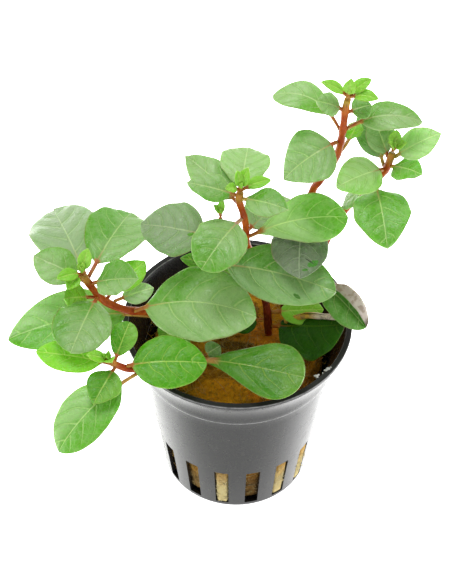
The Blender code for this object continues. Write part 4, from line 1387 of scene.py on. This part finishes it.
# Pale crumbs that lie on the pot's rim: centre and radius
CRUMBS = [
    ((18.6, -17.8, 50.15), 0.50),
    ((18.2, -17.5, 50.00), 0.34),
    ((19.0, -17.2, 50.05), 0.26),
    ((20.7, -15.8, 50.10), 0.34),
    ((21.3, -15.3, 50.10), 0.42),
    ((21.9, -14.8, 50.05), 0.24),
    ((20.0, -16.6, 50.05), 0.20),
    ((-15.6, -20.4, 50.05), 0.22),
]
CRUMB_SEED = 3
CRUMB_FLATTEN = 0.6


def make_crumbs():
    """Small pale crumbs on the rim, each a dented ball."""
    draw = random.Random(CRUMB_SEED)
    n = Nodes("crumb_pale")
    look = n.finish(
        colour=n.mix(n.noise(1.5), (0.30, 0.30, 0.27), (0.62, 0.62, 0.58)),
        roughness=n.ramp(n.noise(2.0), 0.3, 0.7, 0.6, 0.9), bump=n.bump(n.noise(3.0), 0.1))
    points = []
    faces = []
    for centre, radius in CRUMBS:
        shape = bmesh.new()
        bmesh.ops.create_icosphere(shape, subdivisions=2, radius=radius)
        faces.extend(tuple(len(points) + v.index for v in face.verts) for face in shape.faces)
        stretch = draw.uniform(0.6, 1.5)
        for vertex in shape.verts:
            x, y, z = vertex.co
            dent = 1 + draw.uniform(-0.18, 0.12)
            points.append(Vector(centre) + Vector((x * stretch, y, z * CRUMB_FLATTEN)) * dent)
        shape.free()
    piece = link_mesh("rim_crumbs", points, faces)
    piece.data.materials.append(look)
    dress(piece)


# Half the length of the floor's sides, in millimetres
FLOOR_HALF = 1500.0


def make_floor():
    """A pale floor that glows more beside and behind the pot than in front of it."""
    n = Nodes("floor_pale")
    y = n.axes()[1]
    look = n.finish(
        colour=n.mix(n.noise(0.02), (0.96, 0.96, 0.96), (0.98, 0.98, 0.98)), roughness=0.9,
        glow_colour=(1.0, 1.0, 1.0, 1.0), glow=n.ramp(y, -32.0, -4.0, 0.9, 2.3))
    corners = [(x * FLOOR_HALF, y * FLOOR_HALF, 0) for x, y in ((-1, -1), (1, -1), (1, 1), (-1, 1))]
    floor = link_mesh("floor_plane", corners, [(0, 1, 2, 3)], smooth=False)
    floor.data.materials.append(look)


# Soft round lamps: name, place, diameter and power, all aimed at the middle of the plant
LAMPS = [
    ("key", (-90, 60, 700), 330, 1.9),
    ("back", (150, 500, 450), 420, 0.6),
    ("side_left", (-480, -60, 150), 420, 0.8),
    ("side_right", (480, -40, 150), 420, 0.8),
]
LAMP_TARGET = Vector((0, 0, 60))
WORLD_STRENGTH = 0.55


def make_lights():
    """Soft studio light from lamps and an even white world."""
    world = bpy.data.worlds.new("studio")
    world.use_nodes = True
    background = world.node_tree.nodes["Background"]
    background.inputs["Color"].default_value = (1, 1, 1, 1)
    background.inputs["Strength"].default_value = WORLD_STRENGTH
    bpy.context.scene.world = world
    for name, place, size, power in LAMPS:
        lamp = bpy.data.lights.new(name, "AREA")
        lamp.shape = "DISK"
        lamp.size = size * MM
        lamp.energy = power
        made = bpy.data.objects.new(name, lamp)
        made.location = Vector(place) * MM
        aim = (LAMP_TARGET - Vector(place)).normalized()
        made.rotation_euler = aim.to_track_quat("-Z", "Y").to_euler()
        bpy.context.scene.collection.objects.link(made)
    bpy.context.scene.view_settings.view_transform = "Standard"


def make_camera():
    """The camera at the photo's angle."""
    lens = bpy.data.cameras.new("camera")
    lens.lens = CAMERA_LENS
    lens.sensor_width = CAMERA_SENSOR
    lens.clip_start = CAMERA_CLIP
    made = bpy.data.objects.new("camera", lens)
    back = CAMERA_RIGHT.cross(CAMERA_UP).normalized()
    turn = Matrix((CAMERA_RIGHT, CAMERA_UP, back)).transposed().to_4x4()
    made.matrix_world = Matrix.Translation(Vector(CAMERA_PLACE) * MM) @ turn
    bpy.context.scene.collection.objects.link(made)
    bpy.context.scene.camera = made


make_camera()
make_lights()
make_floor()
make_pot()
make_wool()
make_stems()
make_leaves()
make_tips()
make_roots()
make_crumbs()
